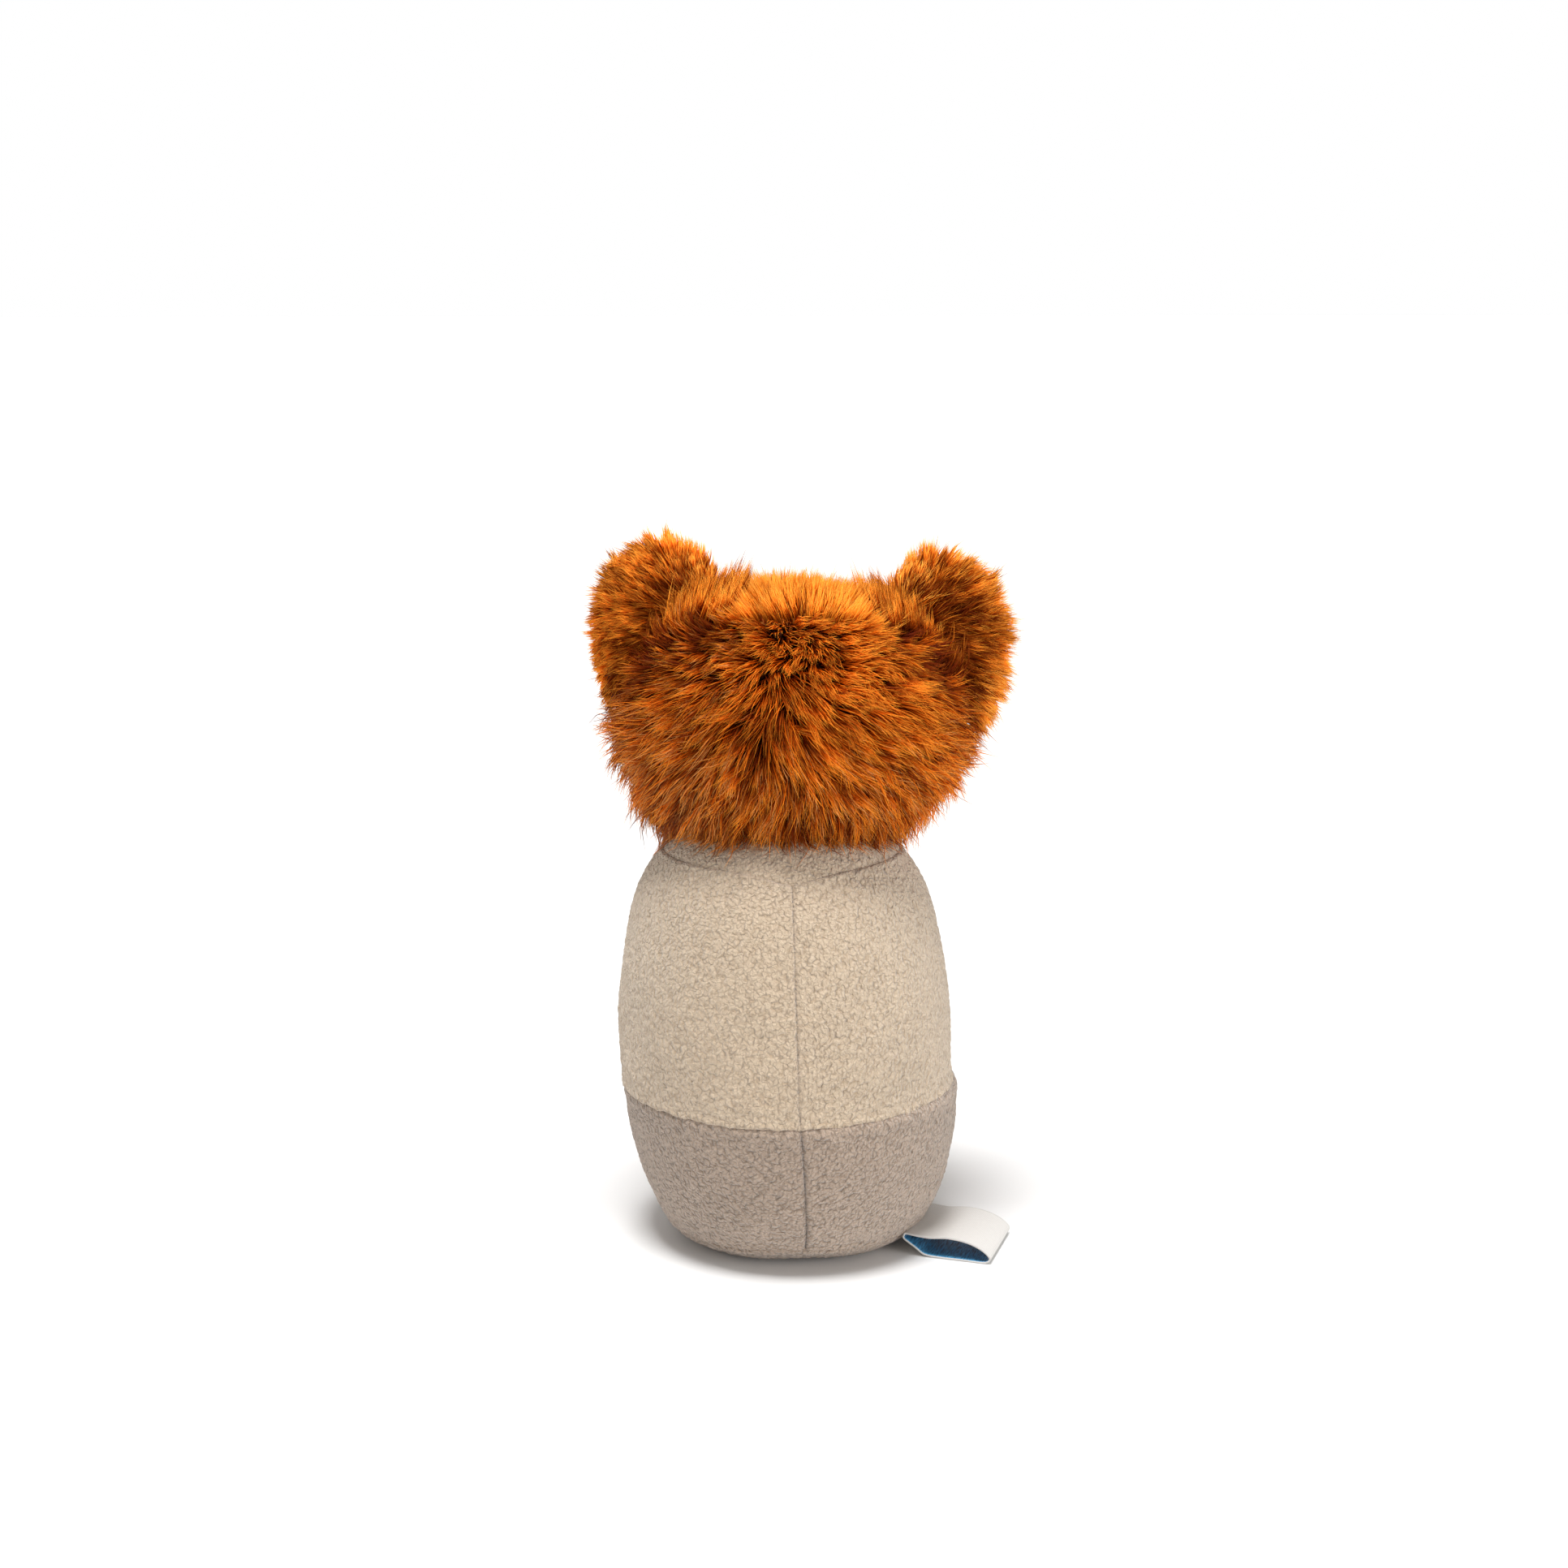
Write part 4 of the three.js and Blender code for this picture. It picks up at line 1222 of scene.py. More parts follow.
@dataclass(frozen=True)
class Ear(Skin):
    """One fabric layer of an ear, in the frame of the joint that folds it. Metres.

    Attributes:
        joint: the joint at its root.
        side: 1 on the toy's left, -1 on its right.
        back: whether this is the back layer.
    """

    joint: dict
    side: int
    back: bool
    half_width: float = 22 * MM
    height: float = 23 * MM
    skew: float = 0.4
    cup: float = 5 * MM
    thick: float = 2.4 * MM

    def axes(self) -> tuple[Points, Points, Points, Points]:
        """The root's middle, and the directions along the root, up the ear and to its back."""
        tilt = HeadForm().tilt
        root = -np.array(self.joint["axis"])
        back = np.array([0, math.cos(tilt), math.sin(tilt)])
        return np.array(self.joint["pos_m"]), root, np.cross(back, root), back

    def flat(self, u: Points, v: Points) -> tuple[Points, Points]:
        """Places along the root and up the ear."""
        w = 2 * u - 1
        x = self.half_width * w * np.sqrt(1 - v**2 / 2)
        y = self.height * v * np.sqrt(1 - w**2 / 2)
        return x, y

    def place(self, u: Points, v: Points) -> Points:
        """Places on the layer's outer face."""
        x, y = self.flat(u, v)
        middle, root, up, back = self.axes()
        bend = self.cup * (x / self.half_width) ** 2 * np.minimum(y / (self.height / 2), 1)
        out = (self.thick if self.back else -self.thick) * 0.5 - bend
        lean = self.side * self.skew * y
        return middle + np.outer(x + lean, root) + np.outer(y, up) + np.outer(out, back)

    def normal(self, u: Points, v: Points) -> Points:
        """Directions out of the layer, which fan out towards its rim."""
        x, y = self.flat(u, v)
        _, root, up, back = self.axes()
        facing = back if self.back else -back
        rim = np.clip(np.maximum(np.abs(2 * u - 1), v), 0, 1) ** 3
        fan = np.outer(0.9 * rim * x / self.half_width, root) + np.outer(0.9 * rim * y / self.height, up)
        return unit(facing[None, :] + fan)


@dataclass(frozen=True)
class Patch:
    """A soft-edged place on the back of the upright head. Millimetres.

    Attributes:
        x, z: its middle.
        wide, tall: how far it reaches.
        tone: how much lighter it is, or darker below 0.
        part: how strongly the pile parts away from its middle.
    """

    x: float
    z: float
    wide: float
    tall: float
    tone: float
    part: float = 0.0

    def share(self, at: Points) -> Points:
        """From 1 in its middle down to 0 outside."""
        x, z = at[:, 0] / MM, at[:, 2] / MM
        return np.exp(-(((x - self.x) / self.wide) ** 2) - ((z - self.z) / self.tall) ** 2)


@dataclass(frozen=True)
class Crease:
    """The line behind an ear where the ear's pile and the head's part, and where the head's pile gets painted
    shade.

    Attributes:
        inner, outer: its ends, as x and z on the upright head in millimetres.
    """

    inner: tuple[float, float]
    outer: tuple[float, float]

    def measure(self, at: Points) -> tuple[Points, Points, Points]:
        """How far places lie above the line, how well within its length, and the way up from it."""
        a, b = np.array(self.inner) * MM, np.array(self.outer) * MM
        along = (b - a) / np.linalg.norm(b - a)
        up = np.array([-along[1], along[0]])
        up = up if up[1] > 0 else -up
        offset = at[:, (0, 2)] - a
        share = offset @ along / np.linalg.norm(b - a)
        within = smooth(-0.45, -0.05, share) * smooth(1.6, 1.15, share)
        return offset @ up, within, np.array([up[0], 0, up[1]])


@dataclass(frozen=True)
class Head:
    """The furry head, its face and its two ears.

    Attributes:
        mottle, ear_mottle: how light the fibres of the head and of the ears are.
        neck_clear: how far the pile keeps off the body.
        lowest: height on the upright head where the pile ends.
        patches: places where the pile is lighter, darker or parts.
        creases: the lines behind the ears, where the pile parts and gets painted shade.
        ruffle: degrees that the long pile strays in waves of 15 mm and in those of 5.5 mm, and what the
            latter grow by where it is ruffled.
        parting_half: distance from the parting at which the pile falls to its side.
        parting: heights, and how far to the toy's left the pile parts there, in millimetres.
        fall: heights in millimetres, and the degrees from straight down that the pile falls at there.
    """

    form: HeadForm = HeadForm()
    long_pile: Pile = Pile(12.5 * MM, 0.22, 0.38 * MM, 42, 12, 2.8 * MM, 0.72, 14, 2.5)
    short_pile: Pile = Pile(8 * MM, 0.14, 0.26 * MM, 64, 42, 2.0 * MM, 0.3, 10, 4.2, 2)
    ear_pile: Pile = Pile(9.5 * MM, 0.2, 0.38 * MM, 48, 16, 2.6 * MM, 0.5, 14, 6)
    mottle: Mottle = Mottle(0.62, ((0.14, 7 * MM, 31), (0.36, 2.4 * MM, 32), (0.3, 1.1 * MM, 35)), 0.22)
    ear_mottle: Mottle = Mottle(0.56, ((0.16, 6 * MM, 33), (0.32, 2.4 * MM, 34), (0.25, 1.1 * MM, 36)), 0.2)
    neck_clear: float = 0.8 * MM
    lowest: float = 116 * MM
    ruffle: tuple[float, float, float] = (22, 24, 60)
    parting_half: float = 15 * MM
    patches: tuple[Patch, ...] = (
        Patch(12, 153, 5, 7, -0.3, 0.8), Patch(6, 167, 17, 12, 0.16), Patch(-2, 134, 2.2, 6, -0.3, 0.6),
        Patch(0, 126, 30, 10, -0.36), Patch(-41, 172, 10, 10, -0.5), Patch(46, 166, 7, 8, -0.35),
        Patch(-30, 158, 14, 16, 0.12), Patch(40, 150, 12, 18, 0.06),
    )
    creases: tuple[Crease, ...] = (Crease((27, 181), (47, 166)), Crease((-27, 182), (-49, 160)))
    parting: tuple[tuple[float, ...], ...] = ((122, 136, 155, 172, 190), (-2, -2, 11, 9, 6))
    fall: tuple[tuple[float, ...], ...] = ((120, 128, 138, 148, 162, 185), (14, 24, 40, 52, 58, 58))

    def keep_off_neck(self, points: Points) -> Points:
        """Pushes points out of the ball that the body's shoulder makes."""
        torso = TorsoForm()
        centre = np.array([torso.sway[1][-1] * MM, 0, torso.neck_z])
        away = points - centre
        far = np.linalg.norm(away, axis=1, keepdims=True)
        least = torso.neck_r + self.neck_clear
        return np.where(far < least, centre + away / np.maximum(far, 1e-9) * least, points)

    @staticmethod
    def mussed(at: Points) -> Points:
        """How ruffled the long pile is, most at the upper middle."""
        return smooth(158 * MM, 176 * MM, at[:, 2]) * smooth(36 * MM, 20 * MM, np.abs(at[:, 0] - 3 * MM))

    def back_nap(self, at: Points, out: Points) -> Points:
        """The way the long pile lies: down, and away from a parting to both sides.

        Args:
            at: places on the upright back of the head.
            out: directions out of the posed head there.

        Returns:
            Directions on the posed head.
        """
        down = unit(out * out[:, 2:] - np.array([0, 0, 1]))
        across = np.cross(down, out)
        height = at[:, 2] / MM
        side = np.tanh((at[:, 0] - np.interp(height, *self.parting) * MM) / self.parting_half)
        angle = np.interp(height, *self.fall) * side
        slow, quick, more = self.ruffle
        quick += more * self.mussed(at)
        angle += slow * Noise(15 * MM, 21).waves(at) + quick * Noise(5.5 * MM, 22).waves(at)
        angle = np.radians(angle)[:, None]
        nap = np.cos(angle) * down + np.sin(angle) * across
        for patch in self.patches:
            away = at / MM - np.array([patch.x, 0, patch.z])
            away *= np.array([1, 0, 0.4])
            nap += (patch.part * patch.share(at))[:, None] * self.form.turned(unit(away))
        for crease in self.creases:
            above, within, up = crease.measure(at)
            share = (smooth(-2 * MM, 3 * MM, above) * within)[:, None]
            nap = nap * (1 - share) + share * (self.form.turned(up) + 0.3 * Noise(6 * MM, 24).vectors(at))
        return nap

    def front_nap(self, at: Points) -> Points:
        """The way the short pile lies: forward over the crown and down the face."""
        flow = np.stack([0.5 * at[:, 0] / self.form.r, -np.ones(len(at)), -0.8 * np.ones(len(at))], axis=1)
        return self.form.turned(unit(flow) + 0.18 * Noise(12 * MM, 25).vectors(at))

    def roots(self, count: int, seed: int, back: bool) -> tuple[Roots, Points]:
        """Spreads roots over the panels of the back or of the front.

        Args:
            count: how many there would be on the whole head.
            seed: which chances.
            back: whether the back panels are meant.

        Returns:
            The roots, and their places on the upright head.
        """
        rng = np.random.default_rng(seed)
        u, v, at, out = self.form.sample(count, rng)
        upright = self.form.upright(u, v)
        keep = (self.form.behind_seam(upright) == back) & (upright[:, 2] > self.lowest)
        at, out, upright = at[keep], out[keep], upright[keep]
        nap = laid(self.back_nap(upright, out) if back else self.front_nap(upright), out)
        at = at - out * self.form.under
        tone = self.mottle.tones(at, rng)
        for patch in self.patches if back else ():
            tone += patch.tone * patch.share(upright)
        # Painted shade along the creases behind the ears.
        for crease in self.creases if back else ():
            above, within, _ = crease.measure(upright)
            tone -= 0.5 * within * np.exp(-((above / (3.6 * MM)) ** 2))
        plain = np.ones(len(at))
        shade = np.full(len(at), Shade.RUSSET)
        return Roots(at, out, nap, plain, 0 * plain, np.clip(tone, 0, LIGHTEST), shade), upright

    def build(self) -> None:
        """Makes the head's pieces."""
        self.skins()
        self.long_coat()
        self.short_coat()
        self.ears()

    def skins(self) -> None:
        """The backing of each panel, set in under the pile."""
        for part, slot, colour in (("head_back_", LONG_FUR.name, RUSSET_BACKING),
                                   ("face_", SHORT_FUR.name, AMBER_BACKING)):
            material = Backing(slot, colour).material()
            for side, _ in SIDES:
                piece = copy_of(part + side)
                self.set_in(piece)
                dress(piece, material, "head", slot, part + side)

    def set_in(self, piece: Piece) -> None:
        """Moves a panel's outer face in to give the pile room, and laps the panels' centre edges."""
        points = points_of(piece)
        upright = self.form.posed(points, back=True)
        reach = np.hypot(upright[:, 0], upright[:, 1] / self.form.depth)
        radius = self.form.radius(upright[:, 2])
        top = upright[:, 2] > self.form.z + self.form.rise - 1.5 * MM
        outer = (reach > radius - 1.2 * MM) | top
        middle = np.array([0, 0, self.form.z])
        inward = unit(middle - upright)
        moved = upright + inward * (self.form.under - 0.3 * MM) * outer[:, None]
        edge = np.abs(upright[:, 0]) < 0.5 * MM
        moved[:, 0] -= edge * np.sign(upright[:, 0].mean()) * 0.4 * MM
        move_points(piece, self.form.posed(self.form.swayed(moved)))

    def grow(self, name: str, pile: Pile, finish: PileFinish, material: Material, body: str,
             roots: Roots, seed: int) -> None:
        """Grows one piece of pile and dresses it."""
        coat = Coat(pile, seed, len(finish.shades), self.keep_off_neck)
        dress(coat.mesh(name, roots), material, body, finish.name)

    def long_coat(self) -> None:
        """Long pile over the back panels: tan low down, short where ruffled, long at hem and cheeks."""
        roots, upright = self.roots(thinned(86000), 41, True)
        rng = np.random.default_rng(42)
        x, z = upright[:, 0] / MM, upright[:, 2] / MM
        wide = np.abs(x)
        tan = smooth(168, 130, z) * 0.35 + 0.16 * (x > 15)
        roots.shade = np.where(rng.random(len(tan)) < tan, Shade.TAN, Shade.RUSSET)
        mussed = self.mussed(upright)
        cheek = smooth(34, 46, wide) * smooth(168, 158, z) * smooth(139, 148, z)
        hem = smooth(125, 119, z)
        corner = hem * smooth(16, 26, wide)
        roots.scale = (0.9 + 0.2 * smooth(150, 125, z) + 0.15 * hem) * (1 - 0.3 * mussed)
        roots.scale *= 1 + 0.12 * cheek + 0.22 * corner
        for crease in self.creases:
            above, within, _ = crease.measure(upright)
            below = smooth(-11 * MM, -3 * MM, above) * smooth(2 * MM, 0, above)
            roots.scale *= 1 - 0.35 * within * below * smooth(43, 37, wide)
        roots.lift = 22 * mussed + 4 * cheek + 8 * corner
        material = LONG_FUR.material()
        for side, chosen in (("left", x >= 0), ("right", x < 0)):
            for part, low, high in (("nape", 0, 138), ("middle", 138, 163), ("crown", 163, 400)):
                rows = roots.only(chosen & (upright[:, 2] >= low * MM) & (upright[:, 2] < high * MM))
                self.grow(f"head_back_{side}_{part}_pile", self.long_pile, LONG_FUR, material, "head",
                          rows, 50 + low + (side == "left"))

    def short_coat(self) -> None:
        """Short pile over the face and crown: amber, with russet along the crown's middle and by the ears."""
        roots, upright = self.roots(thinned(70000), 61, False)
        x, y, z = (upright[:, k] / MM for k in range(3))
        plain = np.ones(len(x))
        strip = np.exp(-((x / 9) ** 2)) * smooth(176, 184, z)
        by_ear = smooth(15, 9, np.hypot(np.abs(x) - 30, 0.8 * (y - 10))) * smooth(172, 178, z)
        rng = np.random.default_rng(62)
        roots.shade = np.full(len(x), Shade.AMBER)
        for share in (0.45 * strip, 0.9 * by_ear):
            roots.shade[rng.random(len(x)) < share] = Shade.RUSSET
        roots.scale = (0.5 + 0.5 * smooth(168, 182, z)) * (1 + 0.5 * by_ear)
        roots.tone = roots.tone + 0.1 + 0.1 * strip - np.where(x < 0, 0.4, 0.2) * by_ear
        roots.lift = -14 * by_ear
        inward = np.stack([-np.sign(x), 0.5 * plain, 0.8 * plain], axis=1)
        roots.nap = unit(roots.nap * (1 - by_ear)[:, None] + inward * by_ear[:, None])
        material = SHORT_FUR.material()
        for side, chosen in (("left", x >= 0), ("right", x < 0)):
            self.grow(f"face_{side}_pile", self.short_pile, SHORT_FUR, material, "head", roots.only(chosen),
                      70 + (side == "left"))

    def ears(self) -> None:
        """Ears with long pile behind and short pile in front."""
        joints = {j["name"]: j for j in frame["joints"]}
        layers = [("back", LONG_FUR, RUSSET_BACKING), ("lining", LINING_FUR, AMBER_BACKING)]
        piles = [finish.material() for _, finish, _ in layers]
        backings = [Backing(finish.name, colour).material() for _, finish, colour in layers]
        for name, side in SIDES:
            joint = joints[name + "_ear_fold"]
            for (layer, finish, _), material, backing in zip(layers, piles, backings):
                node, body, ear = f"{name}_ear_{layer}", joint["child"], Ear(joint, side, layer == "back")
                piece = copy_of(node)
                dress(piece, backing, body, finish.name, node)
                rng = np.random.default_rng(80 + side)
                roots = self.ear_roots(ear, rng)
                pile = self.ear_pile if ear.back else self.short_pile
                self.grow(node + "_pile", pile, finish, material, body, roots, 85 + side)

    def ear_roots(self, ear: Ear, rng: np.random.Generator) -> Roots:
        """Spreads roots over an ear, with painted light at its rim and on the right ear's outer side, and
        painted shade low down by its root and in the right ear's hollow.

        Args:
            ear: which layer of which ear.
            rng: where the chances come from.

        Returns:
            The roots.
        """
        left = ear.side > 0
        u, v, at, out = ear.sample(thinned(14000 if ear.back else 7000), rng)
        crownward = ear.side * ear.flat(u, v)[0] / ear.half_width
        rim = smooth(0.55, 1, np.maximum(np.abs(2 * u - 1), v))
        # Painted light at the rim, and painted shade low down where the ear meets the head.
        tone = self.ear_mottle.tones(at, rng) + 0.12 * rim - 0.3 * smooth(0.45, 0, v)
        shade = np.full(len(at), Shade.RUSSET if ear.back else Shade.AMBER)
        # Light amber fibres at the rim, and on the right ear's outer side: painted light.
        light = 0.5 * rim if left else 0.8 * np.maximum(rim, smooth(0.3, 0.75, -crownward))
        lit = (rng.random(len(at)) < light) & ear.back
        shade[lit] = Shade.AMBER
        # More painted shade low down on the left ear, and in the right ear's hollow.
        if ear.back and left:
            tone -= 0.3 * smooth(0.5, 0.1, v)
        elif ear.back:
            hollow = np.exp(-(((crownward - 0.25) / 0.5) ** 2)) * (1 - 0.8 * rim)
            hollow = np.maximum(hollow, 0.8 * smooth(0.55, 0.2, v) * smooth(-0.9, -0.5, crownward))
            tone -= 0.34 * hollow
            shade[(rng.random(len(at)) < 0.4 * hollow) & ~lit] = Shade.DARK
        scale = (1 - 0.25 * rim) * (1 - (0.4 if left else 0.1) * smooth(0, 0.9, -crownward))
        scale *= 0.88 if left else 1
        # The fibres of painted light never go darker than amber's lowest tone.
        tone = np.where(lit, np.maximum(tone, Coat.AMBER_TONE), tone)
        return Roots(at, out, self.ear_nap(ear, at, out, crownward), scale, 0 * scale, tone, shade)

    @staticmethod
    def ear_nap(ear: Ear, at: Points, out: Points, crownward: Points) -> Points:
        """The way an ear's pile lies: fanned out from its root, and hanging at its outer end.

        Args:
            ear: which layer of which ear.
            at: places on it.
            out: directions out of it.
            crownward: how far they are from its middle towards the crown, as shares of its half width.

        Returns:
            Directions on the posed ear.
        """
        middle, root, up, _ = ear.axes()
        heart = middle + 0.55 * ear.side * ear.half_width * root - 6 * MM * up
        flow = unit(at - heart) + 0.3 * Noise(7 * MM, 23).vectors(at) + 0.4 * Noise(3.5 * MM, 26).vectors(at)
        flow[:, 2] -= 0.3 * smooth(0.1, 1, -crownward)
        return laid(flow, out)


@dataclass(frozen=True)
class Face:
    """Eyes, nose, muzzle and mouth, which the back view hides. Metres."""

    form: HeadForm = HeadForm()
    eye_x: float = 17 * MM
    eye_z: float = 161 * MM
    eye_r: float = 5.5 * MM
    eye_dome: float = 3.4 * MM
    shank_r: float = 1.6 * MM
    shank: float = 10 * MM
    rim: float = 0.8 * MM

    def build(self) -> None:
        """Makes the face's pieces."""
        gloss = BLACK.material()
        for name, side in SIDES:
            dress(self.eye(name + "_eye", side), gloss, "head", BLACK.name, name + "_eye")
        dress(rounded("nose", 0.3 * MM, 6), gloss, "head", BLACK.name, "nose")
        muzzle = rounded("muzzle", 0.45 * MM, 8)
        dress(muzzle, MUZZLE.material(), "head", MUZZLE.name, "muzzle")

    def eye(self, name: str, side: int) -> Piece:
        """A domed eye on its shank."""
        place, facing = self.form.seat(side * self.eye_x, self.eye_z)
        deselect()
        bpy.ops.mesh.primitive_uv_sphere_add(segments=48, ring_count=24, radius=1)
        piece = bpy.context.object
        piece.name = name
        points = points_of(piece)
        up = points[:, 2] > 0
        points[:, :2] *= self.eye_r
        points[:, 2] *= np.where(up, self.eye_dome, self.rim)
        stem = np.hypot(points[:, 0], points[:, 1]) < self.shank_r
        points[:, 2] = np.where(stem & ~up, -self.shank, points[:, 2])
        turn = facing.to_track_quat("Z", "Y").to_matrix()
        move_points(piece, points @ np.array(turn).T + np.array(place))
        bpy.ops.object.shade_smooth()
        return piece


@dataclass(frozen=True)
class Inside:
    """What the toy is filled with. Metres.

    Attributes:
        grain: size of the cells that the fillings' form is kept in.
        wad, wad_depth: size and depth of the wads that they are made up of.
    """

    grain: float = 2.2 * MM
    wad: float = 9 * MM
    wad_depth: float = 0.8 * MM

    def build(self) -> None:
        """Makes the stuffing, the pouch and the plug of the neck, and finishes the small fittings."""
        fibre, pouch = FIBRE.material(), POUCH.material()
        for node, body, material, slot in (
            ("body_stuffing", "torso", fibre, FIBRE.name), ("pellet_pouch", "torso", pouch, POUCH.name),
            ("neck_stuffing", "neck", fibre, FIBRE.name), ("head_stuffing", "head", fibre, FIBRE.name),
        ):
            piece = rounded(node, self.grain, 3)
            points = points_of(piece)
            inward = unit(points.mean(axis=0) - points)
            wads = 0.5 + 0.5 * Noise(self.wad, 51).waves(points)
            move_points(piece, points + inward * (wads * self.wad_depth)[:, None])
            dress(piece, material, body, slot, node)
        for nodes, finish in ((("left_eye_washer", "right_eye_washer", "nose_washer"), WASHER),
                              (("mouth_stitch",), THREAD)):
            material = finish.material()
            for fitting in (frame["nodes"][node] for node in nodes):
                fitting.data.materials.clear()
                fitting.data.materials.append(material)


# Label


@dataclass(frozen=True)
class Label:
    """A folded loop of satin tape sewn into the base seam. Metres and degrees.

    Attributes:
        azimuth: where it is sewn in, round from the toy's left over its back.
        reach, drop: how far the loop lies out from the seam and down from it.
        root_half: radius of the tape's turn in the seam.
        proud: how far that turn's middle stands out from the toe.
        edge_on: how squarely a face looks along the seam where it is the tape's edge.
        loop: points on the tape's middle line, as shares of reach and drop.
    """

    width: float = 25.5 * MM
    thick: float = 0.55 * MM
    azimuth: float = 158
    reach: float = 24.9 * MM
    root_half: float = 1.0 * MM
    seam_z: float = 5.6 * MM
    proud: float = 1.2 * MM
    drop: float = 5.15 * MM
    edge_on: float = 0.7
    loop: tuple[tuple[float, float], ...] = (
        (0.5, -0.2), (0.72, -0.08), (0.88, 0.2), (0.98, 0.55), (1, 0.8), (0.93, 1), (0.67, 1), (0.4, 1),
        (0.22, 0.93), (0.1, 0.55))

    def line(self) -> Points:
        """The tape's middle line, seen from its edge, as distance from the seam and height."""
        turns = np.radians([225, 180, 135, 90])
        start = np.stack([self.root_half * np.cos(turns), self.root_half * np.sin(turns)], axis=1)
        loop = np.array(self.loop) * np.array([self.reach, -self.drop])
        return np.concatenate([start, [[self.reach / 4, self.root_half / 2]], loop, start[:1]])

    def placed(self, out: Points, across: Points, up: Points) -> Points:
        """Places on the toy, from distances out from the seam, along it and above it."""
        azimuth = math.radians(self.azimuth)
        out = float(TorsoForm().radius(np.array([self.seam_z]))[0]) + self.proud + out
        return np.stack([out * math.cos(azimuth) - across * math.sin(azimuth),
                         out * math.sin(azimuth) + across * math.cos(azimuth), self.seam_z + up], axis=-1)

    def build(self) -> None:
        """Makes the label."""
        line = self.line()
        run = np.concatenate([[0], np.cumsum(np.linalg.norm(np.diff(line, axis=0), axis=1))])
        piece = grid("label_loop", 120, 40)
        flat = points_of(piece)
        along, across = (flat[:, 0] + 0.5) * run[-1], flat[:, 1] * self.width
        out, up = (self.through(run, line[:, k], along) for k in (0, 1))
        move_points(piece, self.placed(out, across, up))
        keep_number(piece, "along", along)
        keep_number(piece, "across", across)
        bpy.ops.object.shade_smooth()
        apply_modifier(piece, "SOLIDIFY", thickness=self.thick, offset=0)
        dress(piece, self.satin(), "label", "label_tape", "label_loop")
        piece.data.materials.append(self.floats())
        self.line_inside(piece)

    def line_inside(self, piece: Piece) -> None:
        """Gives the faces that look into the loop the second material."""
        azimuth = math.radians(self.azimuth)
        middle = self.placed(0.5 * self.reach, 0.0, -0.45 * self.drop)
        across = np.array([-math.sin(azimuth), math.cos(azimuth), 0])
        for face in piece.data.polygons:
            away = np.array(face.center) - middle
            away -= (away @ across) * across
            facing = np.array(face.normal)
            edge = abs(facing @ across) > self.edge_on
            face.material_index = int(facing @ away < 0 and not edge)

    @staticmethod
    def through(run: Points, values: Points, at: Points) -> Points:
        """A smooth closed curve through values along a run."""
        count = len(run) - 1
        index = np.clip(np.searchsorted(run, at, side="right") - 1, 0, count - 1)
        share = (at - run[index]) / (run[index + 1] - run[index])
        ring = values[:-1]
        a, b, c, d = (ring[(index + k) % count] for k in (-1, 0, 1, 2))
        return 0.5 * (2 * b + (c - a) * share + (2 * a - 5 * b + 4 * c - d) * share**2
                      + (3 * b - a - 3 * c + d) * share**3)

    @staticmethod
    def satin() -> Material:
        """The tape's white face, of fine threads across it."""
        g = Graph("label_tape")
        threads = (g.attribute("along") * (1 / (0.35 * MM))).fraction()
        noise = g.noise(900, 2)
        colour = g.mix(threads * 0.6 + noise * 0.4, linear("CAC7C3"), linear("E0DDD9"))
        return g.finish(colour, 0.6, g.bump(threads + noise, 0.4, 0.1 * MM))

    def floats(self) -> Material:
        """The tape's blue back, of loose threads across it, with a lighter sewn edge."""
        g = Graph("label_tape_inside")
        along, across = g.attribute("along"), g.attribute("across")
        stretched = {0: along * (1 / (0.45 * MM)), 1: across * (1 / (3.5 * MM))}
        streaks = g.noise(1.0, 2, g.node("CombineXYZ", stretched))
        colour = g.mix(streaks * 2.4 - 0.6, linear("0A3A57"), linear("4C9CC8"))
        stitches = (along * (1 / (0.9 * MM))).fraction() > 0.3
        edge = (abs(across) > 0.5 * self.width - 0.55 * MM) * stitches
        colour = g.mix(edge * 0.8, colour, linear("4C9CCB"))
        return g.finish(colour, 0.55, g.bump(streaks, 0.5, 0.2 * MM))


# Studio


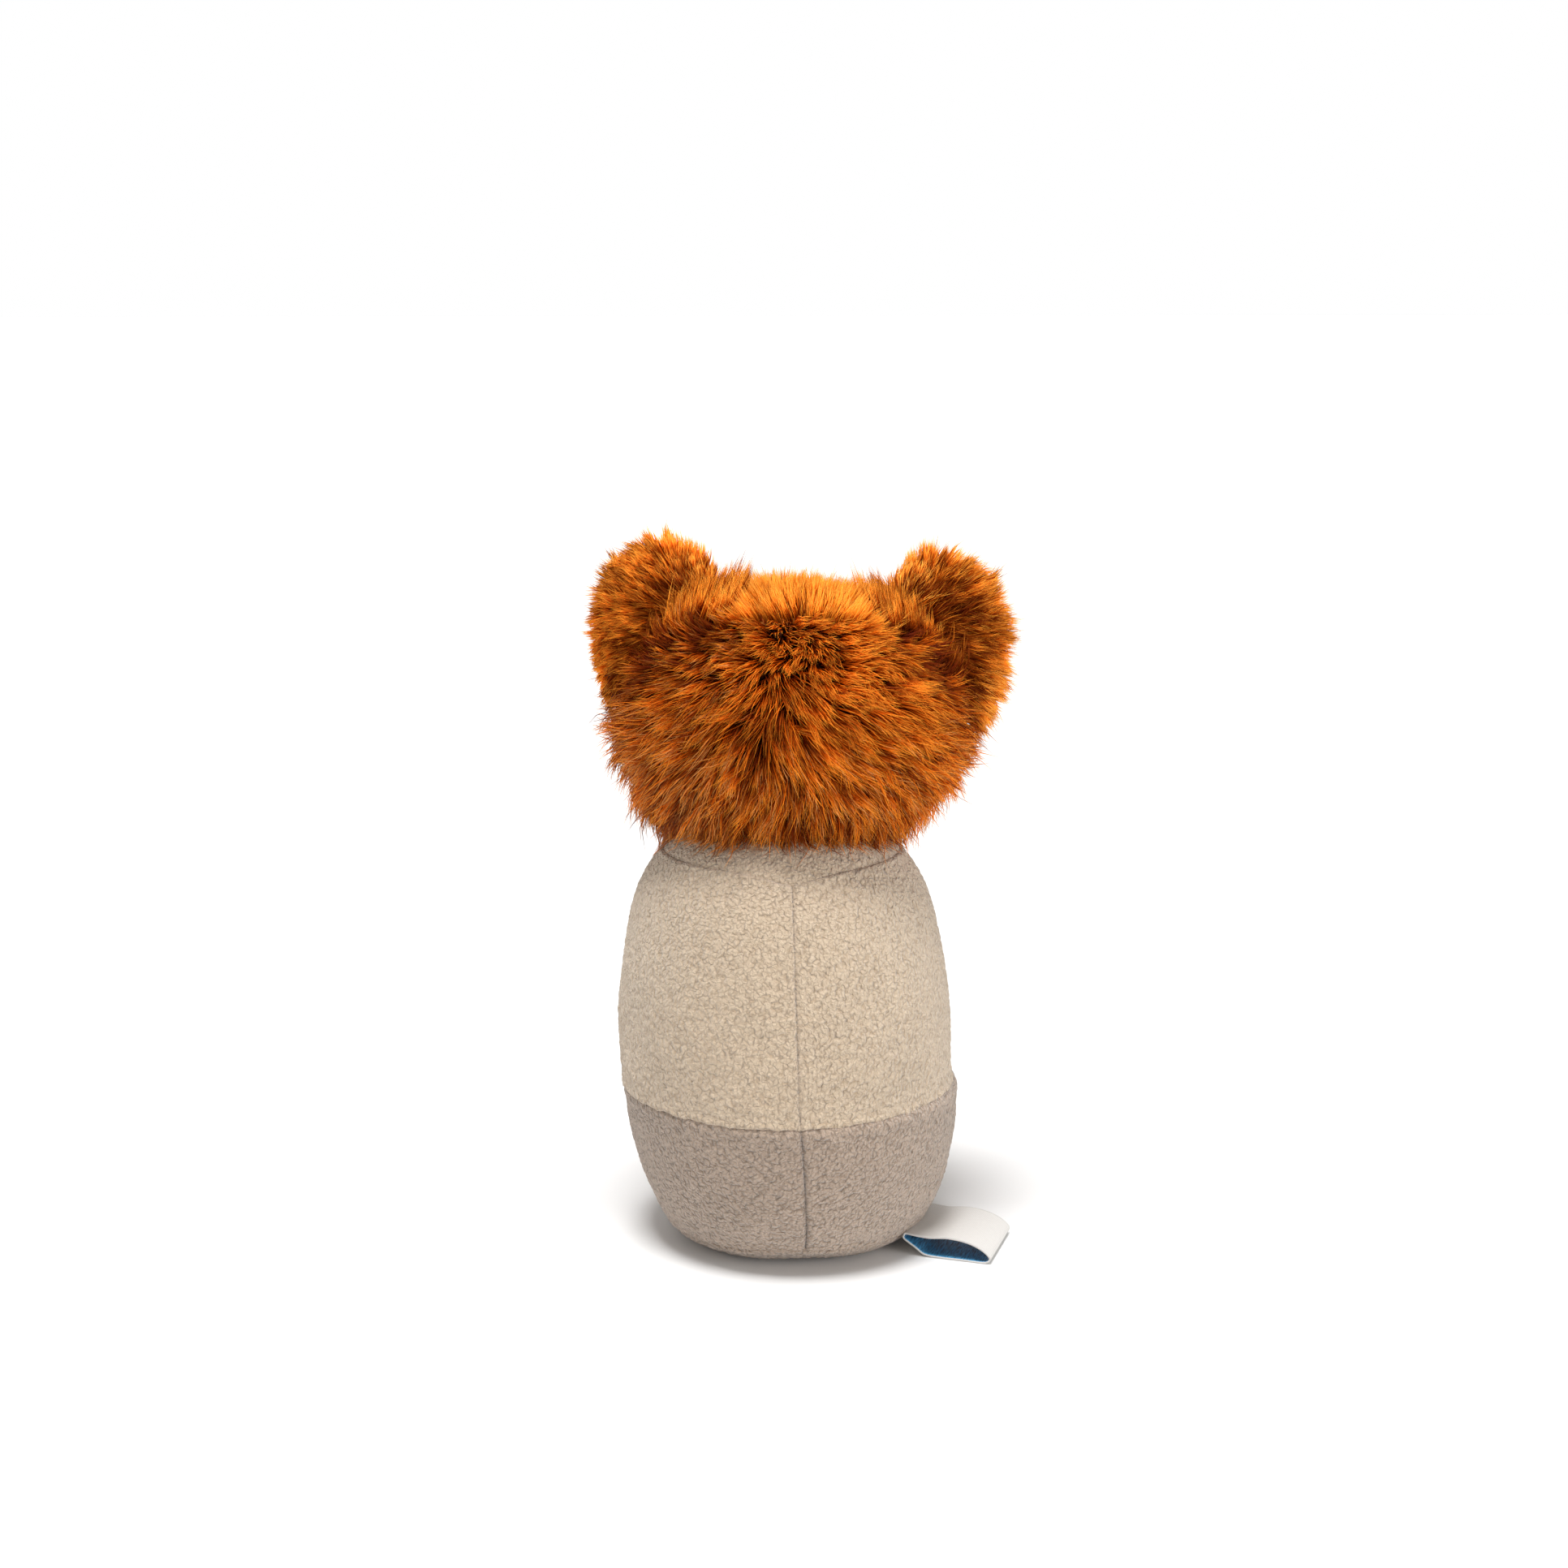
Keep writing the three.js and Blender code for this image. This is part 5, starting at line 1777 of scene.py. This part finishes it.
@dataclass(frozen=True)
class Studio:
    """Camera, lights and floor. Metres.

    Attributes:
        eye, aim: where the camera stands, and what it looks at.
        floor_glow: how brightly the floor shines to the camera by itself.
        surround: how brightly the surround lights the toy.
        suns: each lamp's name, direction that it comes from, level and spread in degrees.
    """

    eye: tuple[float, float, float] = (0.0549, 0.6978, 0.2795)
    aim: tuple[float, float, float] = (0.00215, 0, 0.1361)
    lens: float = 56.2
    sensor: float = 36
    floor_glow: float = 0.01
    surround: float = 0.29
    suns: tuple[tuple[str, tuple[float, float, float], float, float], ...] = (
        ("top", (0.07, 0.17, 1.0), 0.9, 18), ("key", (-0.85, 0.65, 0.14), 0.52, 40),
        ("fill", (0.9, 0.3, 0.14), 0.09, 40), ("front", (0.3, -1.0, 0.4), 0.18, 60))

    def build(self) -> None:
        """Makes the studio."""
        scene = bpy.context.scene
        scene.view_settings.view_transform = "Standard"
        camera = add("camera", bpy.data.cameras.new("camera"))
        camera.location = self.eye
        aim(camera, Vector(self.aim) - Vector(self.eye))
        camera.data.sensor_width, camera.data.lens = self.sensor, self.lens
        camera.data.clip_start, camera.data.clip_end = 0.01, 50
        scene.camera = camera
        for sun in self.suns:
            self.sun(*sun)
        self.floor()
        self.world()

    @staticmethod
    def sun(name: str, towards: tuple[float, float, float], level: float, spread: float) -> None:
        """A far soft light.

        Args:
            name: what it is called.
            towards: the direction that it comes from.
            level: how brightly it lights a surface that faces it, where 1 shows colours as written.
            spread: how wide it looks, in degrees.
        """
        light = bpy.data.lights.new(name, "SUN")
        light.energy, light.angle = level * math.pi, math.radians(spread)
        lamp = add(name, light)
        lamp.location = Vector(towards)
        aim(lamp, -Vector(towards))

    @staticmethod
    def seen(g: Graph) -> Value:
        """1 for rays that show the background, straight, mirrored or through glass."""
        kinds = ("Is Camera Ray", "Is Glossy Ray", "Is Transmission Ray")
        straight, mirrored, through = (g.node("LightPath", out=kind) for kind in kinds)
        return straight.or_more(mirrored).or_more(through)

    def floor(self) -> None:
        """A plain white floor that keeps the toy's shadow."""
        deselect()
        bpy.ops.mesh.primitive_plane_add(size=40)
        floor = bpy.context.object
        floor.name = "floor"
        g = Graph("floor")
        matt = g.node("BsdfDiffuse", {"Color": (0.9, 0.9, 0.9, 1)})
        strength = self.seen(g) * self.floor_glow
        glow = g.node("Emission", {"Color": (1, 1, 1, 1), "Strength": strength})
        floor.data.materials.append(g.end(g.node("AddShader", {0: matt, 1: glow})))

    def world(self) -> None:
        """A white surround that also fills the shadows."""
        world = bpy.data.worlds.new("studio")
        bpy.context.scene.world = world
        g = Graph("studio", world)
        shown = g.node("Background", {"Color": (1, 1, 1, 1)})
        lit = g.node("Background", {"Color": (1, 0.985, 0.96, 1), "Strength": self.surround})
        either = g.node("MixShader", {"Fac": self.seen(g), 1: lit, 2: shown})
        g.end(either, "World")


def main() -> None:
    """Builds the studio and the toy."""
    logging.basicConfig(level=logging.INFO, format="%(message)s")
    Studio().build()
    Torso().build()
    Head().build()
    Face().build()
    Inside().build()
    Label().build()


if __name__ == "__main__":
    main()
